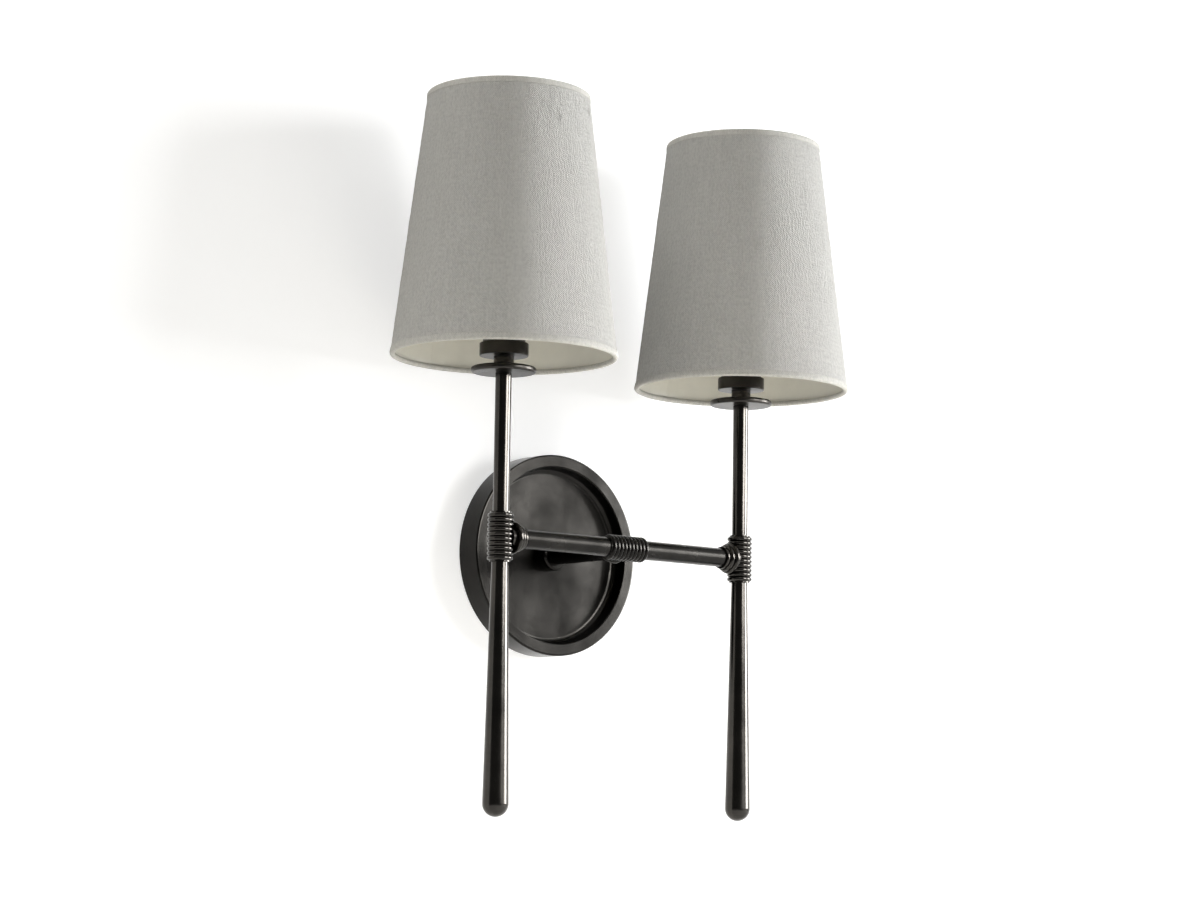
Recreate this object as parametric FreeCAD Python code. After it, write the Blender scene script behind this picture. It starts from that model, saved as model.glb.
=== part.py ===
"""Double arm wall sconce with two tapered shades, in millimetres.

+X is to the right seen from the room, +Y goes into the wall and +Z is up. The origin is the centre of the
wall plate on the wall plane, so the whole object lies at y <= 0.
"""

import FreeCAD, Part
import math
import os

V = FreeCAD.Vector
ORIGIN = V(0, 0, 0)
X_AXIS, Y_AXIS, Z_AXIS = V(1, 0, 0), V(0, 1, 0), V(0, 0, 1)
SIDES = (("left", -1), ("right", 1))

# Clearances
THREAD_FIT = 0.05        # radial, between pieces that are screwed or pushed together
RUN_FIT = 0.08           # radial, between pieces that turn or slide on each other
SEAT_GAP = 0.3           # between faces of pieces that come apart
SHEET_FIT = 0.3          # between the wall pan's flange and the plate's skirt
OVERCUT = 1.0            # how far a cutter runs past what it cuts

# Wall plate, a spun dish with a raised flat rim
PLATE_RADIUS = 65.0
PLATE_DEPTH = 18.0
PLATE_SHEET = 1.5
PLATE_EDGE_ROUND = 1.2
RIM_WIDTH = 8.0
RIM_INNER_ROUND = 0.8
FLOOR_RECESS = 10.5
FLOOR_FILLET = 4.0

# Wall pan, the flat bracket that is screwed to the wall box
PAN_SHEET = 1.6
PAN_FLANGE_HEIGHT = 10.0
BOX_SCREW_SPACING = 88.9
SLOT_WIDTH = 5.0
SLOT_LENGTH = 12.0
WIRE_PORT_RADIUS = 20.0
GROUND_SCREW_DROP = 34.0
GROUND_SCREW_RADIUS = 2.0
GROUND_HEAD_RADIUS = 4.0
GROUND_HEAD_HEIGHT = 2.4
DRIVER_SLOT_WIDTH = 1.0
SET_SCREW_RADIUS = 1.5
SET_SCREW_INSET = 1.2    # how far the screw's point passes the flange
SET_SCREW_SOCKET = 1.5   # hexagon socket, across flats, and as deep
SET_SCREW_ANGLES = (0.0, 90.0)

# Arm from the plate to the crossbar
ARM_REACH = 85.0         # wall to the crossbar's axis
ARM_RADIUS = 6.25
BOSS_RADIUS = 10.0
BOSS_ROUND = 1.6
ARM_NIPPLE_RADIUS = 5.0
ARM_NIPPLE_BORE = 4.0
ARM_NIPPLE_GRIP = 12.0   # length of the wall nipple inside the arm tube
WALL_STANDOFF = 0.8      # from the wall to the back end of the nipple
WASHER_RADIUS = 9.0
WASHER_THICKNESS = 0.8
ARM_NUT_FLATS = 15.0
ARM_NUT_HEIGHT = 3.0

# Crossbar and its ribbed tees
LAMP_SPACING = 196.0
CROSSBAR_RADIUS = 6.0
NIPPLE_RADIUS = 4.0
NIPPLE_BORE = 3.0
NIPPLE_GRIP = 9.0
BARREL_RADIUS = 8.0
BEAD_PITCH = 2.9
BEAD_DEPTH = 0.9
BEAD_COUNT = 10
LIP_RADIUS = 6.6
LIP_HEIGHT = 0.8
BRANCH_RADII = (10.0, 8.5, 7.3)
CENTRE_BRANCH_RADII = (8.8, 8.1, 7.3)    # slimmer, towards the wall
BRANCH_BEAD_DEPTH = 0.9
BRANCH_NECK_RADIUS = 7.0

# Uprights
STEM_RADIUS = 5.0
STEM_LENGTH = 85.0
ROD_TOP_RADIUS = 5.15
ROD_END_RADIUS = 8.0
ROD_LENGTH = 153.0
DISC_RADIUS = 20.0
DISC_HEIGHT = 3.6
DISC_ROUND = 1.4
SLEEVE_RADIUS = 6.25
SLEEVE_HEIGHT = 6.7
CUP_RADIUS = 15.0
CUP_HEIGHT = 8.0
CUP_FLOOR = 3.0
CUP_ROUND = 0.5
HOLDER_NUT_FLATS = 12.0
HOLDER_NUT_HEIGHT = 3.0
NIPPLE_TAIL = 1.0        # thread left showing past the nut

# Lampholder
HOLDER_RADIUS = 13.0
HOLDER_HEIGHT = 39.0
CHAMBER_RADIUS = 9.0
CHAMBER_HEIGHT = 12.0
PARTITION = 3.0
THREAD_CREST_RADIUS = 13.8
THREAD_ROOT_RADIUS = 13.2
THREAD_PITCH = 2.6
THREAD_COUNT = 12
SHELL_RADIUS = 7.5
SHELL_SHEET = 0.45
SHELL_HEIGHT = 22.0
SHELL_EYE_RADIUS = 4.5
RIVET_RADIUS = 1.2
RIVET_OFFSET = 5.6
CONTACT_RADIUS = 3.0
CONTACT_HEIGHT = 2.0
SEAT_RING_RADIUS = 19.0
SEAT_RING_HEIGHT = 4.0
SEAT_RING_RISE = 16.7    # from the holder's foot to the ring
SHADE_RING_RADIUS = 18.5
SHADE_RING_HEIGHT = 5.0
GRIP_COUNT = 24
GRIP_RADIUS = 0.7

# Shade, a linen cone on a liner with a wire frame
SHADE_BOTTOM_RADIUS = 69.5
SHADE_TOP_RADIUS = 50.0
SHADE_HEIGHT = 163.0
HUB_RISE = 24.3          # from the shade's lower edge to the hub
COVER_THICKNESS = 0.5
LINER_THICKNESS = 0.5
TRIM_THICKNESS = 0.3
TRIM_HEIGHT = 2.6
RING_WIRE_RADIUS = 0.9
LEG_WIRE_RADIUS = 1.0
LEG_COUNT = 3
LEG_FIRST_ANGLE = 90.0
HUB_RADIUS = 23.0
HUB_THICKNESS = 1.5
HUB_PLAY = 0.5           # radial, between the hub and the holder's thread
LEG_FOOT_INSET = 1.5     # from the hub's edge to the leg's axis

# Bulb
BULB_RADIUS = 12.5
BULB_GLASS = 0.8
BULB_GLASS_HEIGHT = 65.0
BULB_SHOULDER = 7.0      # height of the taper from the neck to the full width
CAP_SHEET = 0.4
CAP_HEIGHT = 22.0
CAP_TO_GLASS = 0.4       # how far the glass starts above the cap's edge
TIP_RADIUS = 2.4
TIP_HEIGHT = 2.0
BULB_NECK_DEPTH = 12.0   # length of the glass neck inside the cap
CORE_RADIUS = 2.0
CORE_HEIGHT = 20.0
FLARE_EDGE = 1.5         # the flared foot that closes the neck: its rim and its whole height
FLARE_HEIGHT = 6.0
FILAMENT_RADIUS = 0.7
FILAMENT_LENGTH = 26.0
FILAMENT_COUNT = 4
FILAMENT_RING = 3.6

# Leads
LEAD_RADIUS = 0.9
LEAD_SPACING = 1.1       # each lead's distance from the middle of its pair
PAIR_SPACING = 1.3       # each pair's distance from the arm's axis
LEAD_BEND = 4.0
RISER_BEND = 5.0
SPLAY_BEND = 1.6
SPLAY_HEIGHT = 5.0

# Worked out from the sizes above
HALF_SPACING = LAMP_SPACING / 2
FLOOR_FRONT = PLATE_DEPTH - FLOOR_RECESS
FLOOR_BACK = FLOOR_FRONT - PLATE_SHEET
RIM_INNER_RADIUS = PLATE_RADIUS - RIM_WIDTH
PAN_RADIUS = PLATE_RADIUS - PLATE_SHEET - SHEET_FIT
SET_SCREW_HEIGHT = (PAN_SHEET + PAN_FLANGE_HEIGHT) / 2
TEE_HALF = BEAD_COUNT * BEAD_PITCH / 2 + LIP_HEIGHT
BRANCH_END = BARREL_RADIUS + len(BRANCH_RADII) * BEAD_PITCH
TUBE_BORE = NIPPLE_RADIUS + THREAD_FIT
ARM_BORE = ARM_NIPPLE_RADIUS + THREAD_FIT
DISC_BOTTOM = TEE_HALF + STEM_LENGTH
SLEEVE_BOTTOM = DISC_BOTTOM + DISC_HEIGHT
CUP_BOTTOM = SLEEVE_BOTTOM + SLEEVE_HEIGHT
HOLDER_BOTTOM = CUP_BOTTOM + CUP_FLOOR
NIPPLE_TOP = HOLDER_BOTTOM + HOLDER_NUT_HEIGHT + NIPPLE_TAIL
PARTITION_BOTTOM = HOLDER_BOTTOM + CHAMBER_HEIGHT
PARTITION_TOP = PARTITION_BOTTOM + PARTITION
HOLDER_TOP = HOLDER_BOTTOM + HOLDER_HEIGHT
SEAT_RING_BOTTOM = HOLDER_BOTTOM + SEAT_RING_RISE
HUB_BOTTOM = SEAT_RING_BOTTOM + SEAT_RING_HEIGHT + SEAT_GAP
SHADE_RING_BOTTOM = HUB_BOTTOM + HUB_THICKNESS + SEAT_GAP
SHADE_BOTTOM = HUB_BOTTOM - HUB_RISE
TIP_BOTTOM = PARTITION_TOP + CONTACT_HEIGHT + SEAT_GAP
CAP_BOTTOM = TIP_BOTTOM + TIP_HEIGHT
CAP_TOP = CAP_BOTTOM + CAP_HEIGHT
CAP_RADIUS = SHELL_RADIUS - SHELL_SHEET - RUN_FIT


# ---- Drawing helpers ----

def arc(centre, radius, start, end):
    """An outline step along an arc, with its angles in degrees."""
    def at(angle):
        turn = math.radians(angle)
        return (centre[0] + radius * math.cos(turn), centre[1] + radius * math.sin(turn))
    return (at((start + end) / 2), at(end))


def turned(start, *steps):
    """A solid turned about +Z from a closed outline of (radius, height) points and arc steps."""
    edges = []
    here = start
    for step in steps + (start,):
        through, end = step if isinstance(step[0], tuple) else (None, step)
        if math.dist(here, end) < 1e-7:
            continue
        ends = V(here[0], 0, here[1]), V(end[0], 0, end[1])
        if through is None:
            edges.append(Part.LineSegment(*ends).toShape())
        else:
            edges.append(Part.Arc(ends[0], V(through[0], 0, through[1]), ends[1]).toShape())
        here = end
    return Part.Face(Part.Wire(edges)).revolve(ORIGIN, Z_AXIS, 360)


def ring(inner, outer, low, high):
    """A plain ring about +Z."""
    return turned((inner, low), (outer, low), (outer, high), (inner, high))


def rod(radius, low, high):
    """A plain round bar along +Z."""
    return Part.makeCylinder(radius, high - low, V(0, 0, low))


def hex_bar(flats, low, high):
    """A hexagon bar along +Z."""
    corner = flats / math.sqrt(3)
    points = [V(corner * math.cos(math.radians(60 * n)), corner * math.sin(math.radians(60 * n)), low)
              for n in range(7)]
    return Part.Face(Part.makePolygon(points)).extrude(V(0, 0, high - low))


def hex_ring(flats, bore, low, high):
    """A hexagon nut about +Z."""
    return hex_bar(flats, low, high).cut(rod(bore, low, high))


def aimed(shape, direction):
    """Turns a shape drawn along +Z so that it points the given way."""
    out = shape.copy()
    out.Placement = FreeCAD.Placement(ORIGIN, FreeCAD.Rotation(Z_AXIS, direction)).multiply(out.Placement)
    return out


def moved(shape, x=0.0, y=0.0, z=0.0):
    """A copy of a shape, moved."""
    out = shape.copy()
    out.translate(V(x, y, z))
    return out


def from_wall(shape):
    """Stands a shape drawn along +Z on the wall, pointing into the room."""
    return aimed(shape, V(0, -1, 0))


def at_lamp(shape, side):
    """Puts a shape drawn about +Z on one lamp's upright."""
    return moved(shape, side * HALF_SPACING, -ARM_REACH)


def beads(radius, depth, start, count):
    """Outline steps over a row of round beads."""
    return [((radius, start + (n + 0.5) * BEAD_PITCH), (radius - depth, start + (n + 1) * BEAD_PITCH))
            for n in range(count)]


def routed(points, bends, radius):
    """A round lead along straight runs joined by tangent arcs, one bend radius for each inner point."""
    edges = []
    here = points[0]
    for before, corner, after, bend in zip(points, points[1:], points[2:], bends):
        back = (before - corner).normalize()
        on = (after - corner).normalize()
        half = back.getAngle(on) / 2
        start = corner + back * (bend / math.tan(half))
        end = corner + on * (bend / math.tan(half))
        middle = corner + (back + on).normalize() * (bend / math.sin(half) - bend)
        edges.append(Part.LineSegment(here, start).toShape())
        edges.append(Part.Arc(start, middle, end).toShape())
        here = end
    edges.append(Part.LineSegment(here, points[-1]).toShape())
    path = Part.Wire(edges)
    section = Part.Wire(Part.makeCircle(radius, points[0], points[1] - points[0]))
    return path.makePipeShell([section], True, False)


# ---- Wall plate and pan ----

def radial(angle):
    """A direction in the wall's plane, in degrees up from +X."""
    turn = math.radians(angle)
    return V(math.cos(turn), 0, math.sin(turn))


def set_screw_bore(radius, angle):
    """A round bar on a set screw's axis, from the plate's middle past its skirt."""
    bar = rod(radius, PLATE_RADIUS / 2, PLATE_RADIUS + OVERCUT)
    return moved(aimed(bar, radial(angle)), y=-SET_SCREW_HEIGHT)


def backplate():
    skirt_inside = PLATE_RADIUS - PLATE_SHEET
    fillet_centre = (RIM_INNER_RADIUS - FLOOR_FILLET, FLOOR_FRONT + FLOOR_FILLET)
    rim_centre = (PLATE_RADIUS - PLATE_EDGE_ROUND, PLATE_DEPTH - PLATE_EDGE_ROUND)
    lip_centre = (RIM_INNER_RADIUS + RIM_INNER_ROUND, PLATE_DEPTH - RIM_INNER_ROUND)
    dish = turned(
        (PLATE_RADIUS, 0),
        (PLATE_RADIUS, rim_centre[1]),
        arc(rim_centre, PLATE_EDGE_ROUND, 0, 90),
        (lip_centre[0], PLATE_DEPTH),
        arc(lip_centre, RIM_INNER_ROUND, 90, 180),
        (RIM_INNER_RADIUS, fillet_centre[1]),
        arc(fillet_centre, FLOOR_FILLET, 0, -90),
        (ARM_BORE, FLOOR_FRONT),
        (ARM_BORE, FLOOR_BACK),
        (fillet_centre[0], FLOOR_BACK),
        arc(fillet_centre, FLOOR_FILLET + PLATE_SHEET, -90, 0),
        (RIM_INNER_RADIUS + PLATE_SHEET, PLATE_DEPTH - PLATE_SHEET),
        (skirt_inside, PLATE_DEPTH - PLATE_SHEET),
        (skirt_inside, 0),
    )
    plate = from_wall(dish)
    for angle in SET_SCREW_ANGLES:
        plate = plate.cut(set_screw_bore(SET_SCREW_RADIUS + THREAD_FIT, angle))
    return plate


def slot(x):
    """The cutter for one long screw slot, along X."""
    half = SLOT_WIDTH / 2
    reach = SLOT_LENGTH / 2 - half
    ends = [moved(rod(half, -OVERCUT, PAN_SHEET + OVERCUT), end) for end in (-reach, reach)]
    middle = Part.makeBox(2 * reach, SLOT_WIDTH, PAN_SHEET + 2 * OVERCUT, V(-reach, -half, -OVERCUT))
    return moved(from_wall(middle.fuse(ends).removeSplitter()), x)


def wall_pan():
    inner = PAN_RADIUS - PAN_SHEET
    pan = from_wall(turned(
        (WIRE_PORT_RADIUS, 0),
        (PAN_RADIUS, 0),
        (PAN_RADIUS, PAN_FLANGE_HEIGHT),
        (inner, PAN_FLANGE_HEIGHT),
        (inner, PAN_SHEET),
        (WIRE_PORT_RADIUS, PAN_SHEET),
    ))
    for x in (-BOX_SCREW_SPACING / 2, BOX_SCREW_SPACING / 2):
        pan = pan.cut(slot(x))
    screw_hole = from_wall(rod(GROUND_SCREW_RADIUS + THREAD_FIT, -OVERCUT, PAN_SHEET + OVERCUT))
    pan = pan.cut(moved(screw_hole, z=-GROUND_SCREW_DROP))
    for angle in SET_SCREW_ANGLES:
        pan = pan.cut(set_screw_bore(SET_SCREW_RADIUS + THREAD_FIT, angle))
    return pan


def ground_screw():
    shank = rod(GROUND_SCREW_RADIUS, 0, PAN_SHEET)
    head = rod(GROUND_HEAD_RADIUS, PAN_SHEET, PAN_SHEET + GROUND_HEAD_HEIGHT)
    slot_depth = GROUND_HEAD_HEIGHT / 2
    corner = V(-GROUND_HEAD_RADIUS, -DRIVER_SLOT_WIDTH / 2, PAN_SHEET + GROUND_HEAD_HEIGHT - slot_depth)
    driver = Part.makeBox(2 * GROUND_HEAD_RADIUS, DRIVER_SLOT_WIDTH, slot_depth, corner)
    return moved(from_wall(shank.fuse(head).cut(driver)), z=-GROUND_SCREW_DROP)


def plate_set_screws():
    point = PAN_RADIUS - PAN_SHEET - SET_SCREW_INSET
    head = PLATE_RADIUS - THREAD_FIT
    socket = hex_bar(SET_SCREW_SOCKET, head - SET_SCREW_SOCKET, head)
    screw = rod(SET_SCREW_RADIUS, point, head).cut(socket)
    return [moved(aimed(screw, radial(angle)), y=-SET_SCREW_HEIGHT) for angle in SET_SCREW_ANGLES]


# ---- Arm ----

def arm_boss():
    edge = (BOSS_RADIUS - BOSS_ROUND, PLATE_DEPTH - BOSS_ROUND)
    return from_wall(turned(
        (ARM_BORE, FLOOR_FRONT),
        (BOSS_RADIUS, FLOOR_FRONT),
        (BOSS_RADIUS, edge[1]),
        arc(edge, BOSS_ROUND, 0, 90),
        (ARM_BORE, PLATE_DEPTH),
    ))


def wall_arm():
    return from_wall(ring(ARM_BORE, ARM_RADIUS, PLATE_DEPTH, ARM_REACH - BRANCH_END))


def arm_nipples():
    joint = ARM_REACH - BRANCH_END
    wall_end = ring(ARM_NIPPLE_BORE, ARM_NIPPLE_RADIUS, WALL_STANDOFF, PLATE_DEPTH + ARM_NIPPLE_GRIP)
    tee_end = ring(ARM_NIPPLE_BORE, ARM_NIPPLE_RADIUS, joint - NIPPLE_GRIP, joint + NIPPLE_GRIP)
    return [from_wall(wall_end), from_wall(tee_end)]


def arm_lock_washer():
    return from_wall(ring(ARM_BORE, WASHER_RADIUS, FLOOR_BACK - WASHER_THICKNESS, FLOOR_BACK))


def arm_nut():
    top = FLOOR_BACK - WASHER_THICKNESS
    return from_wall(hex_ring(ARM_NUT_FLATS, ARM_BORE, top - ARM_NUT_HEIGHT, top))


# ---- Tees and crossbar ----

def beaded_barrel():
    """The ribbed body of a tee, about +Z, with a plain lip at each end."""
    half = TEE_HALF - LIP_HEIGHT
    return turned(
        (0, -TEE_HALF),
        (LIP_RADIUS, -TEE_HALF),
        (LIP_RADIUS, -half),
        (BARREL_RADIUS - BEAD_DEPTH, -half),
        *beads(BARREL_RADIUS, BEAD_DEPTH, -half, BEAD_COUNT),
        (LIP_RADIUS, half),
        (LIP_RADIUS, TEE_HALF),
        (0, TEE_HALF),
    )


def stepped_branch(radii):
    """The side branch of a tee, along +Z: beads that step down towards the tube."""
    steps = []
    for n, radius in enumerate(radii):
        low = BARREL_RADIUS + n * BEAD_PITCH
        steps.append((radius - BRANCH_BEAD_DEPTH, low))
        steps += beads(radius, BRANCH_BEAD_DEPTH, low, 1)
    return turned((0, 0), (BRANCH_NECK_RADIUS, 0), (BRANCH_NECK_RADIUS, BARREL_RADIUS), *steps,
                  (0, BRANCH_END))


def tee(along, branch, radii, branch_bore):
    """A ribbed tee with its barrel along one axis and its branch along another."""
    body = aimed(beaded_barrel(), along).fuse(aimed(stepped_branch(radii), branch))
    bores = [aimed(rod(TUBE_BORE, -TEE_HALF - OVERCUT, TEE_HALF + OVERCUT), along),
             aimed(rod(branch_bore, 0, BRANCH_END + OVERCUT), branch)]
    return body.cut(bores)


def centre_tee():
    return moved(tee(X_AXIS, Y_AXIS, CENTRE_BRANCH_RADII, ARM_BORE), y=-ARM_REACH)


def end_tee(side):
    return at_lamp(tee(Z_AXIS, V(-side, 0, 0), BRANCH_RADII, TUBE_BORE), side)


def crossbar(side):
    tube = ring(TUBE_BORE, CROSSBAR_RADIUS, TEE_HALF, HALF_SPACING - BRANCH_END)
    return moved(aimed(tube, V(side, 0, 0)), y=-ARM_REACH)


def crossbar_nipples():
    out = []
    for _, side in SIDES:
        for joint in (TEE_HALF, HALF_SPACING - BRANCH_END):
            nipple = ring(NIPPLE_BORE, NIPPLE_RADIUS, joint - NIPPLE_GRIP, joint + NIPPLE_GRIP)
            out.append(moved(aimed(nipple, V(side, 0, 0)), y=-ARM_REACH))
    return out


# ---- Uprights ----

def lower_rod(side):
    """A rod that swells towards a round end, with a spigot up into the tee."""
    end = -TEE_HALF - ROD_LENGTH
    ball = (0, end + ROD_END_RADIUS)
    shape = turned(
        (0, NIPPLE_GRIP - TEE_HALF),
        (NIPPLE_RADIUS, NIPPLE_GRIP - TEE_HALF),
        (NIPPLE_RADIUS, -TEE_HALF),
        (ROD_TOP_RADIUS, -TEE_HALF),
        (ROD_END_RADIUS, ball[1]),
        arc(ball, ROD_END_RADIUS, 0, -90),
    )
    return at_lamp(shape, side)


def stem(side):
    return at_lamp(ring(TUBE_BORE, STEM_RADIUS, TEE_HALF, DISC_BOTTOM), side)


def stem_nipples():
    nipple = ring(NIPPLE_BORE, NIPPLE_RADIUS, TEE_HALF - NIPPLE_GRIP, TEE_HALF + NIPPLE_GRIP)
    return [at_lamp(nipple, side) for _, side in SIDES]


def lamp_nipples():
    nipple = ring(NIPPLE_BORE, NIPPLE_RADIUS, DISC_BOTTOM - NIPPLE_GRIP, NIPPLE_TOP)
    return [at_lamp(nipple, side) for _, side in SIDES]


def drip_disc(side):
    low = DISC_BOTTOM + DISC_ROUND
    high = SLEEVE_BOTTOM - DISC_ROUND
    inset = DISC_RADIUS - DISC_ROUND
    shape = turned(
        (TUBE_BORE, DISC_BOTTOM),
        (inset, DISC_BOTTOM),
        arc((inset, low), DISC_ROUND, -90, 0),
        (DISC_RADIUS, high),
        arc((inset, high), DISC_ROUND, 0, 90),
        (TUBE_BORE, SLEEVE_BOTTOM),
    )
    return at_lamp(shape, side)


def sleeve(side):
    return at_lamp(ring(TUBE_BORE, SLEEVE_RADIUS, SLEEVE_BOTTOM, CUP_BOTTOM), side)


def holder_cup(side):
    """A round cup whose recess takes the lampholder's foot."""
    recess = HOLDER_RADIUS + THREAD_FIT
    inset = CUP_RADIUS - CUP_ROUND
    top = CUP_BOTTOM + CUP_HEIGHT
    shape = turned(
        (TUBE_BORE, CUP_BOTTOM),
        (inset, CUP_BOTTOM),
        arc((inset, CUP_BOTTOM + CUP_ROUND), CUP_ROUND, -90, 0),
        (CUP_RADIUS, top - CUP_ROUND),
        arc((inset, top - CUP_ROUND), CUP_ROUND, 0, 90),
        (recess, top),
        (recess, HOLDER_BOTTOM),
        (TUBE_BORE, HOLDER_BOTTOM),
    )
    return at_lamp(shape, side)


def holder_nuts():
    nut = hex_ring(HOLDER_NUT_FLATS, TUBE_BORE, HOLDER_BOTTOM, HOLDER_BOTTOM + HOLDER_NUT_HEIGHT)
    return [at_lamp(nut, side) for _, side in SIDES]


# ---- Lampholder ----

def lampholder(side):
    """A moulded holder, threaded outside for the shade rings, with a floor for the two contacts."""
    bore = SHELL_RADIUS + THREAD_FIT
    thread_bottom = HOLDER_TOP - THREAD_COUNT * THREAD_PITCH
    thread = []
    for n in range(THREAD_COUNT):
        low = thread_bottom + n * THREAD_PITCH
        thread.append((THREAD_CREST_RADIUS, low + THREAD_PITCH / 2))
        thread.append((THREAD_ROOT_RADIUS, low + THREAD_PITCH))
    shape = turned(
        (CHAMBER_RADIUS, HOLDER_BOTTOM),
        (HOLDER_RADIUS, HOLDER_BOTTOM),
        (HOLDER_RADIUS, thread_bottom),
        (THREAD_ROOT_RADIUS, thread_bottom),
        *thread,
        (bore, HOLDER_TOP),
        (bore, PARTITION_TOP),
        (0, PARTITION_TOP),
        (0, PARTITION_BOTTOM),
        (CHAMBER_RADIUS, PARTITION_BOTTOM),
    )
    rivet_hole = rod(RIVET_RADIUS + THREAD_FIT, PARTITION_BOTTOM - OVERCUT, PARTITION_TOP + OVERCUT)
    shape = shape.cut([rivet_hole, moved(rivet_hole, side * RIVET_OFFSET)])
    return at_lamp(shape, side)


def screw_shell(side):
    """The threaded metal sleeve that grips the bulb's cap, riveted through the holder's floor."""
    inner = SHELL_RADIUS - SHELL_SHEET
    sleeve_part = turned(
        (SHELL_EYE_RADIUS, PARTITION_TOP),
        (SHELL_RADIUS, PARTITION_TOP),
        (SHELL_RADIUS, PARTITION_TOP + SHELL_HEIGHT),
        (inner, PARTITION_TOP + SHELL_HEIGHT),
        (inner, PARTITION_TOP + SHELL_SHEET),
        (SHELL_EYE_RADIUS, PARTITION_TOP + SHELL_SHEET),
    )
    rivet = moved(rod(RIVET_RADIUS, PARTITION_BOTTOM, PARTITION_TOP + SHELL_SHEET), side * RIVET_OFFSET)
    return at_lamp(sleeve_part.fuse(rivet), side)


def centre_contact(side):
    head = PARTITION_TOP + CONTACT_HEIGHT
    shape = turned(
        (0, PARTITION_BOTTOM),
        (RIVET_RADIUS, PARTITION_BOTTOM),
        (RIVET_RADIUS, PARTITION_TOP),
        (CONTACT_RADIUS, PARTITION_TOP),
        (CONTACT_RADIUS, head - CONTACT_HEIGHT / 2),
        (RIVET_RADIUS, head),
        (0, head),
    )
    return at_lamp(shape, side)


def seat_ring(side):
    """The lower threaded ring that carries the shade's hub."""
    bore = THREAD_CREST_RADIUS + THREAD_FIT
    top = SEAT_RING_BOTTOM + SEAT_RING_HEIGHT
    waist = (bore + SEAT_RING_RADIUS) / 2
    shape = turned(
        (bore, SEAT_RING_BOTTOM),
        (waist, SEAT_RING_BOTTOM),
        (waist, SEAT_RING_BOTTOM + SEAT_RING_HEIGHT / 2),
        (SEAT_RING_RADIUS, SEAT_RING_BOTTOM + SEAT_RING_HEIGHT / 2),
        (SEAT_RING_RADIUS, top),
        (bore, top),
    )
    return at_lamp(shape, side)


def shade_ring(side):
    """The upper ring that clamps the hub, with a gripped edge."""
    bore = THREAD_CREST_RADIUS + RUN_FIT
    low, high = SHADE_RING_BOTTOM, SHADE_RING_BOTTOM + SHADE_RING_HEIGHT
    shape = ring(bore, SHADE_RING_RADIUS, low, high)
    grips = []
    for n in range(GRIP_COUNT):
        notch = moved(rod(GRIP_RADIUS, low - OVERCUT, high + OVERCUT), SHADE_RING_RADIUS)
        notch.rotate(ORIGIN, Z_AXIS, 360 * n / GRIP_COUNT)
        grips.append(notch)
    return at_lamp(shape.cut(grips), side)


# ---- Leads ----

def leads(side):
    """Two leads from the wall through the arm, the crossbar and the stem to the lampholder's contacts."""
    out = []
    for offset, terminal in ((1, 0.0), (-1, RIVET_OFFSET)):
        lead_z = offset * LEAD_SPACING
        pair_x = side * PAIR_SPACING
        riser_x = side * (HALF_SPACING - lead_z)
        end_x = side * (HALF_SPACING + terminal)
        points = [
            V(pair_x, -WALL_STANDOFF, lead_z),
            V(pair_x, -ARM_REACH, lead_z),
            V(riser_x, -ARM_REACH, lead_z),
            V(riser_x, -ARM_REACH, NIPPLE_TOP + SPLAY_BEND / 2),
            V(end_x, -ARM_REACH, NIPPLE_TOP + SPLAY_BEND / 2 + SPLAY_HEIGHT),
            V(end_x, -ARM_REACH, PARTITION_BOTTOM),
        ]
        bends = (LEAD_BEND, RISER_BEND - lead_z, SPLAY_BEND, SPLAY_BEND)
        out.append(routed(points, bends, LEAD_RADIUS))
    return out


# ---- Shade ----

def on_slope(up, out, from_top=False):
    """A (radius, height) point on the shade's wall: up the slope and out from the cover's face."""
    run, rise = SHADE_TOP_RADIUS - SHADE_BOTTOM_RADIUS, SHADE_HEIGHT
    length = math.hypot(run, rise)
    if from_top:
        up = length - up
    radius = SHADE_BOTTOM_RADIUS + (up * run + out * rise) / length
    return (radius, SHADE_BOTTOM + (up * rise - out * run) / length)


def shade_skin(outside, inside, edge):
    """A conical skin between two depths under the cover's face, ending a little inside both edges."""
    return turned(on_slope(edge, -outside), on_slope(edge, -outside, True),
                  on_slope(edge, -inside, True), on_slope(edge, -inside))


def shade_cover(side):
    return at_lamp(shade_skin(0, COVER_THICKNESS, TRIM_THICKNESS), side)


def shade_liner(side):
    """The liner, which ends at the wire rings."""
    edge = TRIM_THICKNESS + 2 * RING_WIRE_RADIUS + 3 * THREAD_FIT
    return at_lamp(shade_skin(COVER_THICKNESS, COVER_THICKNESS + LINER_THICKNESS, edge), side)


def wire_ring(from_top):
    """The round wire behind the cover, at one edge of the shade."""
    depth = COVER_THICKNESS + THREAD_FIT + RING_WIRE_RADIUS
    radius, height = on_slope(TRIM_THICKNESS + THREAD_FIT + RING_WIRE_RADIUS, -depth, from_top)
    return Part.makeTorus(radius, RING_WIRE_RADIUS, V(0, 0, height)), (radius, height)


def shade_bottom_ring(side):
    return at_lamp(wire_ring(False)[0], side)


def shade_spider(side):
    """The clamped hub with legs that rise to the top ring and run into it from inside."""
    top_ring, (ring_radius, ring_height) = wire_ring(True)
    hub = ring(THREAD_CREST_RADIUS + HUB_PLAY, HUB_RADIUS, HUB_BOTTOM, HUB_BOTTOM + HUB_THICKNESS)
    foot = V(HUB_RADIUS - LEG_FOOT_INSET, 0, HUB_BOTTOM + HUB_THICKNESS / 2)
    rise = V(ring_radius - LEG_WIRE_RADIUS, 0, ring_height) - foot
    pieces = [top_ring]
    for n in range(LEG_COUNT):
        leg = Part.makeCylinder(LEG_WIRE_RADIUS, rise.Length, foot, rise)
        leg.rotate(ORIGIN, Z_AXIS, LEG_FIRST_ANGLE + 360 * n / LEG_COUNT)
        pieces.append(leg)
    return at_lamp(hub.fuse(pieces), side)


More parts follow.
